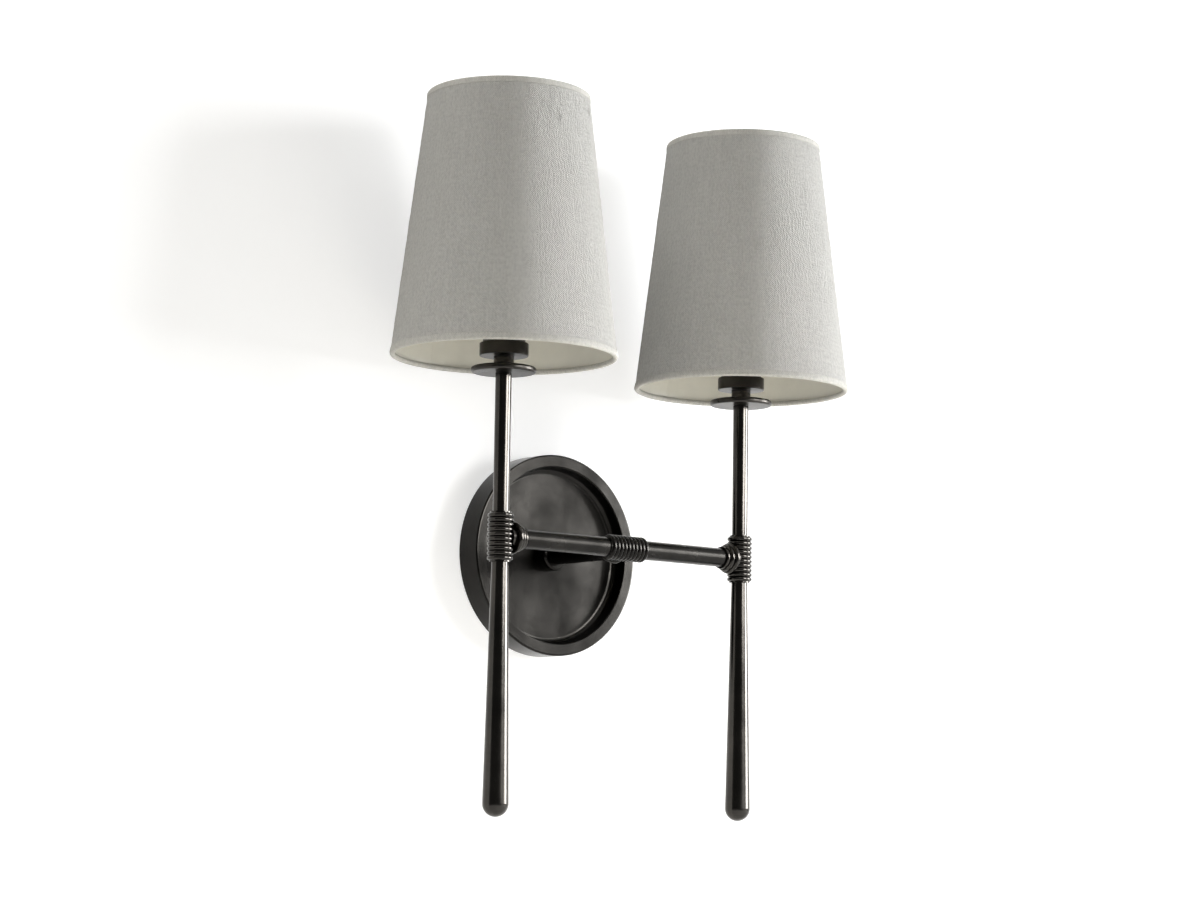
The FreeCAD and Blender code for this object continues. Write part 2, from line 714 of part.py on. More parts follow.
def trim(from_top):
    """The folded tape round one edge: down the outside, over the edge and, below, up behind the wire."""
    back = COVER_THICKNESS + 2 * (RING_WIRE_RADIUS + THREAD_FIT)
    inner_leg = TRIM_THICKNESS + RING_WIRE_RADIUS
    thick = TRIM_THICKNESS
    mid = thick * (1 - math.sqrt(0.5))
    round_out = thick * math.sqrt(0.5)

    def at(up, out):
        return on_slope(up, out, from_top)

    outside = [at(TRIM_HEIGHT, 0), at(TRIM_HEIGHT, thick), at(thick, thick), (at(mid, round_out), at(0, 0))]
    end = [at(0, -back)]
    if not from_top:
        end += [(at(mid, -back - round_out), at(thick, -back - thick)), at(inner_leg, -back - thick),
                at(inner_leg, -back)]
    return turned(*outside, *end, at(thick, -back), at(thick, 0))


def shade_trims(side):
    return [at_lamp(trim(from_top), side) for from_top in (False, True)]


# ---- Bulb ----

def bulb_glass(side):
    """A tubular glass envelope with a domed end and a neck down into the cap."""
    neck = CAP_RADIUS - CAP_SHEET - THREAD_FIT
    low = CAP_TOP - BULB_NECK_DEPTH
    base = CAP_TOP + CAP_TO_GLASS
    wide = base + BULB_SHOULDER
    dome = base + BULB_GLASS_HEIGHT - BULB_RADIUS
    inner = BULB_RADIUS - BULB_GLASS
    shape = turned(
        (neck - BULB_GLASS, low),
        (neck, low),
        (neck, base),
        (BULB_RADIUS, wide),
        (BULB_RADIUS, dome),
        arc((0, dome), BULB_RADIUS, 0, 90),
        (0, dome + inner),
        arc((0, dome), inner, 90, 0),
        (inner, wide + BULB_GLASS / 2),
        (neck - BULB_GLASS, base + BULB_GLASS / 2),
    )
    return at_lamp(shape, side)


def bulb_cap(side):
    return at_lamp(turned(
        (0, CAP_BOTTOM),
        (TIP_RADIUS, CAP_BOTTOM),
        (CAP_RADIUS, CAP_BOTTOM + TIP_HEIGHT),
        (CAP_RADIUS, CAP_TOP),
        (CAP_RADIUS - CAP_SHEET, CAP_TOP),
        (CAP_RADIUS - CAP_SHEET, CAP_BOTTOM + TIP_HEIGHT + CAP_SHEET),
        (0, CAP_BOTTOM + TIP_HEIGHT + CAP_SHEET),
    ), side)


def bulb_tip(side):
    return at_lamp(rod(TIP_RADIUS, TIP_BOTTOM, CAP_BOTTOM), side)


def bulb_core(side):
    """The glass post on the neck's floor, with upright filaments round its head."""
    neck_inner = CAP_RADIUS - CAP_SHEET - THREAD_FIT - BULB_GLASS - THREAD_FIT
    low = CAP_TOP - BULB_NECK_DEPTH
    top = CAP_TOP + CORE_HEIGHT
    head = FILAMENT_RING + 2 * FILAMENT_RADIUS
    head_bottom = top - 2 * FILAMENT_RADIUS
    post = turned(
        (0, low),
        (neck_inner, low),
        (neck_inner, low + FLARE_EDGE),
        (CORE_RADIUS, low + FLARE_HEIGHT),
        (CORE_RADIUS, head_bottom),
        (head, head_bottom),
        (head, top),
        (0, top),
    )
    filaments = []
    for n in range(FILAMENT_COUNT):
        filament = moved(rod(FILAMENT_RADIUS, top - FILAMENT_RADIUS, top + FILAMENT_LENGTH), FILAMENT_RING)
        filament.rotate(ORIGIN, Z_AXIS, 360 * (n + 0.5) / FILAMENT_COUNT)
        filaments.append(filament)
    return at_lamp(post.fuse(filaments), side)


# ---- Build ----

SINGLE = (backplate, wall_pan, ground_screw, plate_set_screws, arm_boss, wall_arm, arm_nipples,
          arm_lock_washer, arm_nut, centre_tee, crossbar_nipples, stem_nipples, lamp_nipples, holder_nuts)
MIRRORED = (crossbar, lower_rod, stem, drip_disc, sleeve, holder_cup, lampholder, screw_shell,
            centre_contact, seat_ring, shade_ring, leads, shade_cover, shade_liner, shade_bottom_ring,
            shade_spider, shade_trims, bulb_glass, bulb_cap, bulb_tip, bulb_core)


def write(node, made):
    """Writes one node, a solid or a group of separate solids, and prints its size."""
    pieces = made if isinstance(made, list) else [made]
    solids = [solid for piece in pieces for solid in piece.Solids]
    shape = solids[0] if len(solids) == 1 else Part.makeCompound(solids)
    shape.exportStep(f"parts/{node}.step")
    print(node, len(solids), "solids", round(shape.Volume, 1), "mm3", "" if shape.isValid() else "INVALID")


def main():
    os.makedirs("parts", exist_ok=True)
    for maker in SINGLE:
        write(maker.__name__, maker())
    for name, side in SIDES:
        write(f"{name}_tee", end_tee(side))
        for maker in MIRRORED:
            write(f"{name}_{maker.__name__}", maker(side))


main()
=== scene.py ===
"""Looks of a double arm wall sconce with two linen shades, laid out as a Blender add-on, in metres.

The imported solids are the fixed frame: +X is to the right seen from the room, +Y goes into the wall and +Z
is up. Metal, glass and moulded parts keep their solids under new finishes, and the ribbed tees, the
linen, its rolled edges and liner, the lampholders and the bulb caps are built here.
"""

import math
from functools import partial

import bmesh
import bpy
import numpy as np
from mathutils import Matrix, Vector


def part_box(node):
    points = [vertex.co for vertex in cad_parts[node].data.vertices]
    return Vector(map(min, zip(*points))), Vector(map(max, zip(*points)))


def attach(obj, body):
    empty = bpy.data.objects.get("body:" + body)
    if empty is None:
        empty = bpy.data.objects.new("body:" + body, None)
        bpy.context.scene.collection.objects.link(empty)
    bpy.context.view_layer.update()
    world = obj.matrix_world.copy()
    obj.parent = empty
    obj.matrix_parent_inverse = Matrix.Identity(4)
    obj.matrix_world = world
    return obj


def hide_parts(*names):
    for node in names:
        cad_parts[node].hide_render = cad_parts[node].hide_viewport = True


bl_info = {
    "name": "Double arm wall sconce",
    "version": (1, 0, 0),
    "blender": (4, 5, 0),
    "location": "View3D > Sidebar > Sconce",
    "description": "Dresses a double arm wall sconce with bronze, linen and a studio",
    "category": "Object",
}

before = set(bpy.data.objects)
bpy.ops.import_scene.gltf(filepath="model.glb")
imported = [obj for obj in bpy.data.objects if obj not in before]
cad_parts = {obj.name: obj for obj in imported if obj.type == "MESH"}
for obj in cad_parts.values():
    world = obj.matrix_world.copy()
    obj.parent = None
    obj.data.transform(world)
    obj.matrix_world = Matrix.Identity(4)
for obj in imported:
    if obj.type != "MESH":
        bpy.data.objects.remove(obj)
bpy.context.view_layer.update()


SIDES = (("left", -1), ("right", 1))
TURN = 2 * math.pi


# ---- Measures read from the frame ----

def middle(node):
    """The middle of a node's box."""
    low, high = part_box(node)
    return (low + high) / 2


def radius_at(node, height, reach):
    """The largest and smallest distance from a node's upright axis among its points near a height."""
    centre = middle(node)
    points = np.array([v.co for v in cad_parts[node].data.vertices])
    near = points[np.abs(points[:, 2] - height) < reach]
    distances = np.hypot(near[:, 0] - centre.x, near[:, 1] - centre.y)
    return float(distances.max()), float(distances.min())


def half_width(node, axis=0):
    """Half of a node's box along one axis."""
    low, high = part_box(node)
    return (high[axis] - low[axis]) / 2


LAMP = middle("right_stem")
BAR = middle("left_crossbar")
COVER_LOW, COVER_HIGH = (corner.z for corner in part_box("left_shade_cover"))
NEAR_EDGE = 0.0006
COVER_BOTTOM_RADIUS = radius_at("left_shade_cover", COVER_LOW, NEAR_EDGE)[0]
COVER_TOP_RADIUS = radius_at("left_shade_cover", COVER_HIGH, NEAR_EDGE)[0]
SLANT = math.hypot(COVER_BOTTOM_RADIUS - COVER_TOP_RADIUS, COVER_HIGH - COVER_LOW)
MEAN_RADIUS = (COVER_BOTTOM_RADIUS + COVER_TOP_RADIUS) / 2
LINER_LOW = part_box("left_shade_liner")[0].z
COVER_SHARE = (LINER_LOW - COVER_LOW) / (COVER_HIGH - COVER_LOW)
COVER_RADIUS_THERE = COVER_BOTTOM_RADIUS + COVER_SHARE * (COVER_TOP_RADIUS - COVER_BOTTOM_RADIUS)
LINER_INSET = COVER_RADIUS_THERE - half_width("left_shade_liner")
WIRE_RADIUS = half_width("left_shade_bottom_ring", 2)
SHADE_RUN, SHADE_RISE = COVER_TOP_RADIUS - COVER_BOTTOM_RADIUS, COVER_HIGH - COVER_LOW
PLAY = 0.00005      # between pieces that lie against each other


# ---- Sizes and colours that a user would change ----

class ShadeSettings(bpy.types.PropertyGroup):
    """Sizes and colours of the shades."""
    cloth_thickness: bpy.props.FloatProperty(
        name="Cloth thickness", description="Thickness of the linen", default=0.00045, unit="LENGTH")
    thread_pitch: bpy.props.FloatProperty(
        name="Thread pitch", description="From one thread of the weave to the next", default=0.0007,
        unit="LENGTH")
    slub_count: bpy.props.IntProperty(
        name="Slubs", description="Thick places in the upright threads of one shade", default=360)
    slub_length: bpy.props.FloatProperty(
        name="Slub length", description="Length of the longest slub", default=0.010, unit="LENGTH")
    slub_width: bpy.props.FloatProperty(
        name="Slub width", description="Width of a slub", default=0.0007, unit="LENGTH")
    roll_height: bpy.props.FloatProperty(
        name="Roll height", description="How far the rolled edges reach over the linen", default=0.0034,
        unit="LENGTH")
    roll_thickness: bpy.props.FloatProperty(
        name="Roll thickness", description="Thickness of the cloth in the rolled edges", default=0.0003,
        unit="LENGTH")
    linen: bpy.props.FloatVectorProperty(
        name="Linen", description="Colour of the linen", default=(0.765, 0.757, 0.728), subtype="COLOR")
    # Darker than the linen: painted shade along the rolled edges, standing in for the shade under each roll and in its
    # crease.
    linen_roll: bpy.props.FloatVectorProperty(
        name="Rolled linen", description="Colour of the linen in the rolled edges, where it is glued",
        default=(0.62, 0.61, 0.575), subtype="COLOR")
    liner: bpy.props.FloatVectorProperty(
        name="Liner", description="Colour of the liner", default=(0.84, 0.82, 0.74), subtype="COLOR")


class MetalSettings(bpy.types.PropertyGroup):
    """Colours and ribs of the metal."""
    bronze: bpy.props.FloatVectorProperty(
        name="Bronze", description="Colour of the dark bronze", default=(0.038, 0.036, 0.033),
        subtype="COLOR")
    bronze_light: bpy.props.FloatVectorProperty(
        name="Worn bronze", description="Colour of the bronze where hands and tools have rubbed it",
        default=(0.056, 0.052, 0.047), subtype="COLOR")
    # A darker copy of the bronze: painted shade on the wall plate, the arm and the crossbar, which are the same bronze
    # as the uprights and only a little rougher.
    plate_bronze: bpy.props.FloatVectorProperty(
        name="Plate bronze", description="Colour of the matt bronze on the wall plate",
        default=(0.0155, 0.0147, 0.0135), subtype="COLOR")
    plate_bronze_light: bpy.props.FloatVectorProperty(
        name="Worn plate bronze", description="Colour of the wall plate where it is rubbed",
        default=(0.0235, 0.0223, 0.0205), subtype="COLOR")
    barrel_radius: bpy.props.FloatProperty(
        name="Barrel radius", description="Radius of a tee over its ribs", default=0.008, unit="LENGTH")
    rib_count: bpy.props.IntProperty(
        name="Ribs", description="Ribs along the barrel of a tee", default=10)
    branch_ribs: bpy.props.IntProperty(
        name="Branch ribs", description="Ribs along the branch of a tee", default=3)
    rib_depth: bpy.props.FloatProperty(
        name="Rib depth", description="Depth of the grooves between the ribs", default=0.0011,
        unit="LENGTH")


class StageSettings(bpy.types.PropertyGroup):
    """The studio round the sconce."""
    lens: bpy.props.FloatProperty(
        name="Lens", description="Focal length on a 36 mm wide sensor", default=86.9, unit="CAMERA")
    key: bpy.props.FloatProperty(
        name="Key light", description="Power of the main lamp", default=120.0, unit="POWER")
    fill: bpy.props.FloatProperty(
        name="Fill", description="Brightness of the room for diffuse light", default=0.145)
    glow: bpy.props.FloatProperty(
        name="Glow", description="Light that the wall and floor add for the camera and in gloss", default=0.59)
    background: bpy.props.FloatVectorProperty(
        name="Wall and floor", description="Colour of the wall and floor", default=(0.62, 0.62, 0.62),
        subtype="COLOR")


# ---- Small helpers for node trees ----

def add(tree, kind, values=None, **options):
    """Adds a node, sets its options, and fills its inputs with numbers or with other nodes' outputs."""
    node = tree.nodes.new(kind)
    for name, value in options.items():
        setattr(node, name, value)
    for key, value in (values or {}).items():
        if isinstance(value, bpy.types.NodeSocket):
            tree.links.new(value, node.inputs[key])
        else:
            node.inputs[key].default_value = value
    return node


def maths(tree, operation, *values):
    """One sum on numbers or outputs."""
    return add(tree, "ShaderNodeMath", dict(enumerate(values)), operation=operation).outputs[0]


def sums(tree):
    """The commonest sums of a tree as functions: times, plus, minus, divided, and times then plus."""
    return [partial(maths, tree, kind) for kind in ("MULTIPLY", "ADD", "SUBTRACT", "DIVIDE", "MULTIPLY_ADD")]


def vector(tree, *parts):
    """A vector made from its parts."""
    return add(tree, "ShaderNodeCombineXYZ", dict(enumerate(parts))).outputs[0]


def noise(tree, scale, detail, **inputs):
    """A noise along a line where W is given, and through space otherwise."""
    dimensions = "1D" if "W" in inputs else "3D"
    return add(tree, "ShaderNodeTexNoise", {**inputs, "Scale": scale, "Detail": detail},
               noise_dimensions=dimensions).outputs[0]


def object_place(tree):
    """The piece's own coordinates."""
    return add(tree, "ShaderNodeTexCoord").outputs["Object"]


def give(tree, sockets, **values):
    """Links outputs to named sockets, with _ for a space in a name."""
    for title, value in values.items():
        tree.links.new(value, sockets[title.replace("_", " ")])


def mixed(tree, share, low, high):
    """A colour between two, by a share from 0 to 1."""
    node = add(tree, "ShaderNodeMix", {"Factor": share}, data_type="RGBA")
    for index, colour in ((6, low), (7, high)):
        if isinstance(colour, bpy.types.NodeSocket):
            tree.links.new(colour, node.inputs[index])
        else:
            node.inputs[index].default_value = (*colour, 1)
    return node.outputs[2]


def ranged(tree, value, low, high, from_low=0.0, from_high=1.0):
    """A value carried from one range to another."""
    return add(tree, "ShaderNodeMapRange",
               {"Value": value, "From Min": from_low, "From Max": from_high, "To Min": low, "To Max": high}).outputs[0]


def new_tree(name, kind, inputs, outputs):
    """A node group with named sockets, and its two end nodes."""
    tree = bpy.data.node_groups.new(name, kind)
    for direction, sockets in (("INPUT", inputs), ("OUTPUT", outputs)):
        for title, socket, *default in sockets:
            made = tree.interface.new_socket(name=title, in_out=direction, socket_type="NodeSocket" + socket)
            if default:
                made.default_value = default[0]
    return tree, tree.nodes.new("NodeGroupInput").outputs, tree.nodes.new("NodeGroupOutput").inputs


# ---- Shader groups ----

def turning_marks_group():
    """Fine lines left by a lathe, and the soft clouds of a hand-rubbed finish."""
    tree, given, out = new_tree(
        "Turning marks", "ShaderNodeTree",
        [("Along", "Float"), ("Position", "Vector"), ("Lines per metre", "Float", 2600.0),
         ("Cloud size", "Float", 45.0)],
        [("Height", "Float"), ("Tone", "Float"), ("Sheen", "Float")])
    times, _, _, _, times_plus = sums(tree)
    along, place = given["Along"], given["Position"]
    fine = noise(tree, given["Lines per metre"], 2.0, W=along, Roughness=0.6)
    broad = noise(tree, 420.0, 1.0, W=along)
    cloud = noise(tree, given["Cloud size"], 4.0, Vector=place, Roughness=0.55)
    speck = noise(tree, 1900.0, 2.0, Vector=place)
    lines = times_plus(broad, 0.35, times(fine, 0.65))
    tone = times_plus(cloud, 0.7, times(lines, 0.3))
    give(tree, out, Height=times_plus(speck, 0.25, lines), Tone=ranged(tree, tone, 0.0, 1.0, 0.36, 0.64),
         Sheen=ranged(tree, cloud, 0.0, 1.0, 0.3, 0.7))
    return tree


def weave_group():
    """Plain weave with uneven upright threads, on a map in metres."""
    tree, given, out = new_tree(
        "Slubbed weave", "ShaderNodeTree",
        [("Map", "Vector"), ("Thread pitch", "Float", 0.0007), ("Slub share", "Float", 0.7)],
        [("Height", "Float"), ("Tone", "Float"), ("Fleck", "Float")])
    times, plus, minus, divided, times_plus = sums(tree)
    across, up, _ = add(tree, "ShaderNodeSeparateXYZ", {0: given["Map"]}).outputs
    wander = noise(tree, 90.0, 1.0, Vector=given["Map"])
    turns = divided(TURN / 2, given["Thread pitch"])
    warp = maths(tree, "SINE", times_plus(across, turns, times(wander, 4.0)))
    weft = maths(tree, "SINE", times_plus(up, turns, times(wander, 3.0)))
    both = plus(maths(tree, "ABSOLUTE", warp), maths(tree, "ABSOLUTE", weft))
    weave = times_plus(times(warp, weft), 0.5, times(both, 0.25))

    def streaks(per_metre_across, per_metre_up, detail):
        stretched = vector(tree, times(across, per_metre_across), times(up, per_metre_up))
        return add(tree, "ShaderNodeTexNoise", {"Vector": stretched, "Scale": 1.0, "Detail": detail,
                                                "Roughness": 0.6}, noise_dimensions="2D").outputs[0]

    upright, long_upright, level = streaks(700.0, 400.0, 3.0), streaks(300.0, 36.0, 2.0), streaks(60.0, 650.0, 2.0)
    slubs = times_plus(level, 0.22, times_plus(long_upright, 0.32, upright))
    slub_share = given["Slub share"]
    height = times_plus(times(slubs, 0.62), slub_share, times(weave, minus(1.0, slub_share)))
    # The tone darkens where the weave and the slubs lie low: partly the yarns' own uneven colour, partly painted shade
    # in the hollows between the yarns.
    tone = times_plus(weave, 0.18, times(slubs, 0.5))
    give(tree, out, Height=height, Tone=ranged(tree, tone, 0.0, 1.0, 0.30, 0.54),
         Fleck=ranged(tree, streaks(420.0, 60.0, 1.0), 0.0, 1.0, 0.66, 0.78))
    return tree


def moulded_grain_group():
    """The faint pebble and clouding of moulded or lacquered surfaces."""
    tree, given, out = new_tree(
        "Moulded grain", "ShaderNodeTree",
        [("Position", "Vector"), ("Grain per metre", "Float", 1400.0)],
        [("Height", "Float"), ("Tone", "Float")])
    place = given["Position"]
    pebble = add(tree, "ShaderNodeTexVoronoi", {"Vector": place, "Scale": given["Grain per metre"]},
                 feature="SMOOTH_F1")
    give(tree, out, Height=pebble.outputs["Distance"],
         Tone=ranged(tree, noise(tree, 120.0, 4.0, Vector=place), 0.0, 1.0, 0.3, 0.7))
    return tree


GROUPS = {}


def group(name):
    """A shader group, built when it is first asked for."""
    builders = {"marks": turning_marks_group, "weave": weave_group, "grain": moulded_grain_group}
    if name not in GROUPS:
        GROUPS[name] = builders[name]()
    return GROUPS[name]


# ---- Materials ----

def material(name, **sockets):
    """A material with one Principled shader whose plain values are set on its own sockets."""
    made = bpy.data.materials.new(name)
    made.use_nodes = True
    shader = made.node_tree.nodes["Principled BSDF"]
    for title, value in sockets.items():
        shader.inputs[title.replace("_", " ")].default_value = value
    return made, made.node_tree, shader


def bump(tree, shader, height, distance):
    """Fine relief from a height, at most distance deep in metres."""
    give(tree, shader.inputs, Normal=add(tree, "ShaderNodeBump", {"Height": height, "Distance": distance}).outputs[0])


def turned_place(tree, axis, centre, both_sides=False):
    """Object coordinates, and the distance along and out from a turning axis."""
    times, plus, _, _, times_plus = sums(tree)
    place = object_place(tree)
    if both_sides:
        place = add(tree, "ShaderNodeVectorMath", {0: place}, operation="ABSOLUTE").outputs[0]
        centre = [abs(value) for value in centre]
    local = add(tree, "ShaderNodeVectorMath", {0: place, 1: centre}, operation="SUBTRACT").outputs[0]
    parts = add(tree, "ShaderNodeSeparateXYZ", {0: local}).outputs
    one, two = [parts[n] for n in range(3) if n != axis]
    return place, plus(parts[axis], maths(tree, "SQRT", times_plus(one, one, times(two, two))))


def turned_metal(name, axis, centre, dark, light, rough, both_sides=False, marks=0.00002, edge=1.0):
    """A metal that was turned or spun about an axis; edge tones down its glancing shine."""
    made, tree, shader = material(name, Metallic=1.0, Specular_Tint=(edge, edge, edge, 1.0))
    place, along = turned_place(tree, axis, centre, both_sides)
    finish = add(tree, "ShaderNodeGroup", {"Along": along, "Position": place}, node_tree=group("marks")).outputs
    give(tree, shader.inputs, Base_Color=mixed(tree, finish["Tone"], dark, light),
         Roughness=ranged(tree, finish["Sheen"], *rough))
    bump(tree, shader, finish["Height"], marks)
    return made


def grained(name, dark, light, rough, distance, per_metre=1400.0, **sockets):
    """A moulded or lacquered finish."""
    made, tree, shader = material(name, **sockets)
    place = object_place(tree)
    finish = add(tree, "ShaderNodeGroup", {"Grain per metre": per_metre, "Position": place},
                 node_tree=group("grain")).outputs
    give(tree, shader.inputs, Base_Color=mixed(tree, finish["Tone"], dark, light),
         Roughness=ranged(tree, finish["Tone"], *rough))
    bump(tree, shader, finish["Height"], distance)
    return made


def woven(name, colour, slub_share, height, settings):
    """Linen, on the piece's own map in metres."""
    made, tree, shader = material(name, Specular_IOR_Level=0.25, Sheen_Weight=0.04, Sheen_Roughness=0.5)
    chart = add(tree, "ShaderNodeUVMap", uv_map="cloth").outputs[0]
    finish = add(tree, "ShaderNodeGroup", {"Thread pitch": settings.thread_pitch, "Slub share": slub_share,
                                           "Map": chart}, node_tree=group("weave")).outputs
    dark, light = [0.85 * value for value in colour], [min(1.0, 1.07 * value) for value in colour]
    fleck = [value * tint for value, tint in zip(colour, (0.80, 0.77, 0.72))]
    share = maths(tree, "MULTIPLY", finish["Fleck"], 0.15)
    # The ground follows the weave's tone, which includes painted shade between the yarns.
    ground = mixed(tree, finish["Tone"], dark, light)
    give(tree, shader.inputs, Base_Color=mixed(tree, share, ground, fleck),
         Roughness=ranged(tree, finish["Tone"], 0.98, 0.82))
    bump(tree, shader, finish["Height"], height)
    return made


def clear_glass(name):
    """Clear blown glass with faint ripples."""
    made, tree, shader = material(name, Transmission_Weight=1.0, IOR=1.45)
    ripple = noise(tree, 70.0, 2.0, Vector=object_place(tree))
    give(tree, shader.inputs, Roughness=ranged(tree, ripple, 0.0, 0.03),
         Base_Color=mixed(tree, ripple, (0.97, 0.97, 0.96), (1.0, 1.0, 1.0)))
    bump(tree, shader, ripple, 0.0002)
    return made


MATERIALS = {}


def finish_for(name):
    """A material by its short name, built when it is first asked for."""
    if name in MATERIALS:
        return MATERIALS[name]
    metal, shade = bpy.context.scene.sconce_metal, bpy.context.scene.sconce_shade
    bronze = tuple(metal.bronze), tuple(metal.bronze_light)
    # The plate, arm and crossbar take this darker copy of the bronze as painted shade, not as a matt finish of their
    # own.
    matt = tuple(metal.plate_bronze), tuple(metal.plate_bronze_light)
    wall = {"axis": 1, "centre": (0.0, 0.0, 0.0)}
    bar = {"axis": 0, "centre": (0.0, BAR.y, BAR.z)}
    lamp = {"axis": 2, "centre": tuple(LAMP), "both_sides": True}
    fine, coarse = {"distance": 0.00002}, {"distance": 0.00003}
    # Dark and light colour, smoothest and roughest, and the builder's other values
    metals = {
        # Plate, arm and crossbar: the darker bronze copy, which paints shade on them.
        "bronze_plate": (matt, (0.20, 0.27), {**wall, "marks": 0.000012}),
        "bronze_arm": (matt, (0.24, 0.32), wall),
        "bronze_crossbar": (matt, (0.22, 0.30), bar),
        "bronze_disc": (bronze, (0.26, 0.34), {**lamp, "marks": 0.000012, "edge": 0.8}),
        "bronze_upright": (bronze, (0.15, 0.22), {**lamp, "marks": 0.000008}),
        "zinc": (((0.50, 0.50, 0.48), (0.66, 0.66, 0.63)), (0.28, 0.42), wall),
        "brass": (((0.66, 0.47, 0.19), (0.80, 0.62, 0.32)), (0.22, 0.36), lamp),
        "nickel": (((0.60, 0.59, 0.56), (0.74, 0.73, 0.70)), (0.16, 0.28), lamp),
    }
    moulded = {
        "green_steel": (((0.03, 0.20, 0.07), (0.05, 0.30, 0.11)), (0.30, 0.45), {**fine, "Coat_Weight": 0.4}),
        "black_moulding": (((0.020, 0.020, 0.021), (0.040, 0.040, 0.041)), (0.42, 0.58), coarse),
        "lead_insulation": (((0.62, 0.60, 0.55), (0.76, 0.74, 0.69)), (0.45, 0.6), fine),
        "liner": (([0.96 * value for value in shade.liner], tuple(shade.liner)), (0.30, 0.42),
                  {"distance": 0.000012, "per_metre": 900.0}),
        "white_wire": (((0.74, 0.74, 0.72), (0.84, 0.84, 0.82)), (0.28, 0.40), {**fine, "Coat_Weight": 0.3}),
        "solder": (((0.42, 0.42, 0.42), (0.62, 0.62, 0.62)), (0.3, 0.5),
                   {"distance": 0.00006, "per_metre": 600.0, "Metallic": 1.0}),
        "filament": (((0.90, 0.66, 0.30), (0.98, 0.80, 0.46)), (0.4, 0.6), coarse),
    }
    # The rolled linen's darker colour is painted shade along the rolls.
    cloths = {"linen": (shade.linen, 0.75, 0.0034), "linen_roll": (shade.linen_roll, 0.5, 0.0006)}
    if name in cloths:
        colour, slub_share, relief = cloths[name]
        made = woven(name, tuple(colour), slub_share, relief, shade)
    elif name == "bulb_glass":
        made = clear_glass(name)
    else:
        build, table = (turned_metal, metals) if name in metals else (grained, moulded)
        (dark, light), rough, others = table[name]
        made = build(name, dark=dark, light=light, rough=rough, **others)
    MATERIALS[name] = made
    return made


NODE_FINISHES = {
    "backplate": "bronze_plate", "arm_boss": "bronze_plate", "plate_set_screws": "bronze_plate",
    "wall_arm": "bronze_arm", "wall_pan": "zinc", "arm_lock_washer": "zinc", "arm_nut": "zinc",
    "arm_nipples": "zinc", "ground_screw": "green_steel", "crossbar_nipples": "zinc",
    "stem_nipples": "zinc", "lamp_nipples": "zinc", "holder_nuts": "zinc",
    "crossbar": "bronze_crossbar", "lower_rod": "bronze_upright", "stem": "bronze_upright",
    "drip_disc": "bronze_disc", "sleeve": "bronze_upright", "holder_cup": "bronze_disc",
    "screw_shell": "brass", "centre_contact": "brass", "seat_ring": "black_moulding",
    "shade_ring": "black_moulding", "leads": "lead_insulation", "shade_bottom_ring": "white_wire",
    "shade_spider": "white_wire", "bulb_glass": "bulb_glass", "bulb_tip": "solder", "bulb_core": "filament",
}


# ---- Piece helpers ----

def link(name, data):
    """An object in the scene, made from a mesh, lamp or camera."""
    made = bpy.data.objects.new(name, data)
    bpy.context.scene.collection.objects.link(made)
    return made


def settle(piece, body, finish, replaced=(), sharp=40.0):
    """Gives a finished mesh its material, its body and the solids that it stands for."""
    piece.data.materials.clear()
    piece.data.materials.append(finish_for(finish))
    piece.data.polygons.foreach_set("use_smooth", [True] * len(piece.data.polygons))
    piece.data.set_sharp_from_angle(angle=math.radians(sharp))
    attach(piece, body)
    if replaced:
        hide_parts(*replaced)
    return piece


ON_AXIS = 1e-7      # a point nearer to its axis than this lies on it


def turned_mesh(name, outline, axis_at, segments=96):
    """A mesh turned about an upright axis from a closed outline of (radius, height) points."""
    mesh = bpy.data.meshes.new(name)
    shape = bmesh.new()
    rings = []
    for step in range(segments):
        angle = TURN * step / segments
        rings.append([shape.verts.new((axis_at.x + r * math.cos(angle), axis_at.y + r * math.sin(angle), h))
                      for r, h in outline])
    count = len(outline)
    for step in range(segments):
        ring, after = rings[step], rings[(step + 1) % segments]
        for n in range(count):
            m = (n + 1) % count
            if max(outline[n][0], outline[m][0]) >= ON_AXIS:
                shape.faces.new((ring[n], after[n], after[m], ring[m]))
    bmesh.ops.remove_doubles(shape, verts=shape.verts, dist=ON_AXIS)
    bmesh.ops.dissolve_degenerate(shape, edges=shape.edges, dist=ON_AXIS)
    bmesh.ops.recalc_face_normals(shape, faces=shape.faces)
    shape.to_mesh(mesh)
    shape.free()
    return mesh


def arc_points(centre, radius, start, end, steps=6):
    """Points along an arc of an outline, with its angles in degrees."""
    angles = [math.radians(start + (end - start) * n / steps) for n in range(steps + 1)]
    return [(centre[0] + radius * math.cos(a), centre[1] + radius * math.sin(a)) for a in angles]


def on_slope(up, out, from_top=False):
    """A (radius, height) point on the shade's wall: up the slope and out from the linen's face."""
    if from_top:
        up = SLANT - up
    radius = COVER_BOTTOM_RADIUS + (up * SHADE_RUN + out * SHADE_RISE) / SLANT
    return (radius, COVER_LOW + (up * SHADE_RISE - out * SHADE_RUN) / SLANT)


def lamp_axis(side):
    """Where an upright's axis meets the level of the frame's origin."""
    return Vector((side * abs(LAMP.x), LAMP.y, 0.0))


def cloth_map(mesh, axis_at):
    """A map in metres: round the shade at its mean radius, and up."""
    layer = mesh.uv_layers.new(name="cloth")
    for polygon in mesh.polygons:
        centre = polygon.center
        home = math.atan2(centre.y - axis_at.y, centre.x - axis_at.x)
        for loop in polygon.loop_indices:
            point = mesh.vertices[mesh.loops[loop].vertex_index].co
            dx, dy = point.x - axis_at.x, point.y - axis_at.y
            away = math.atan2(dy * math.cos(home) - dx * math.sin(home), dx * math.cos(home) + dy * math.sin(home))
            out = math.hypot(dx, dy)
            layer.data[loop].uv = ((home + away + TURN) * MEAN_RADIUS, point.z - COVER_LOW + out)


# ---- Geometry node trees ----

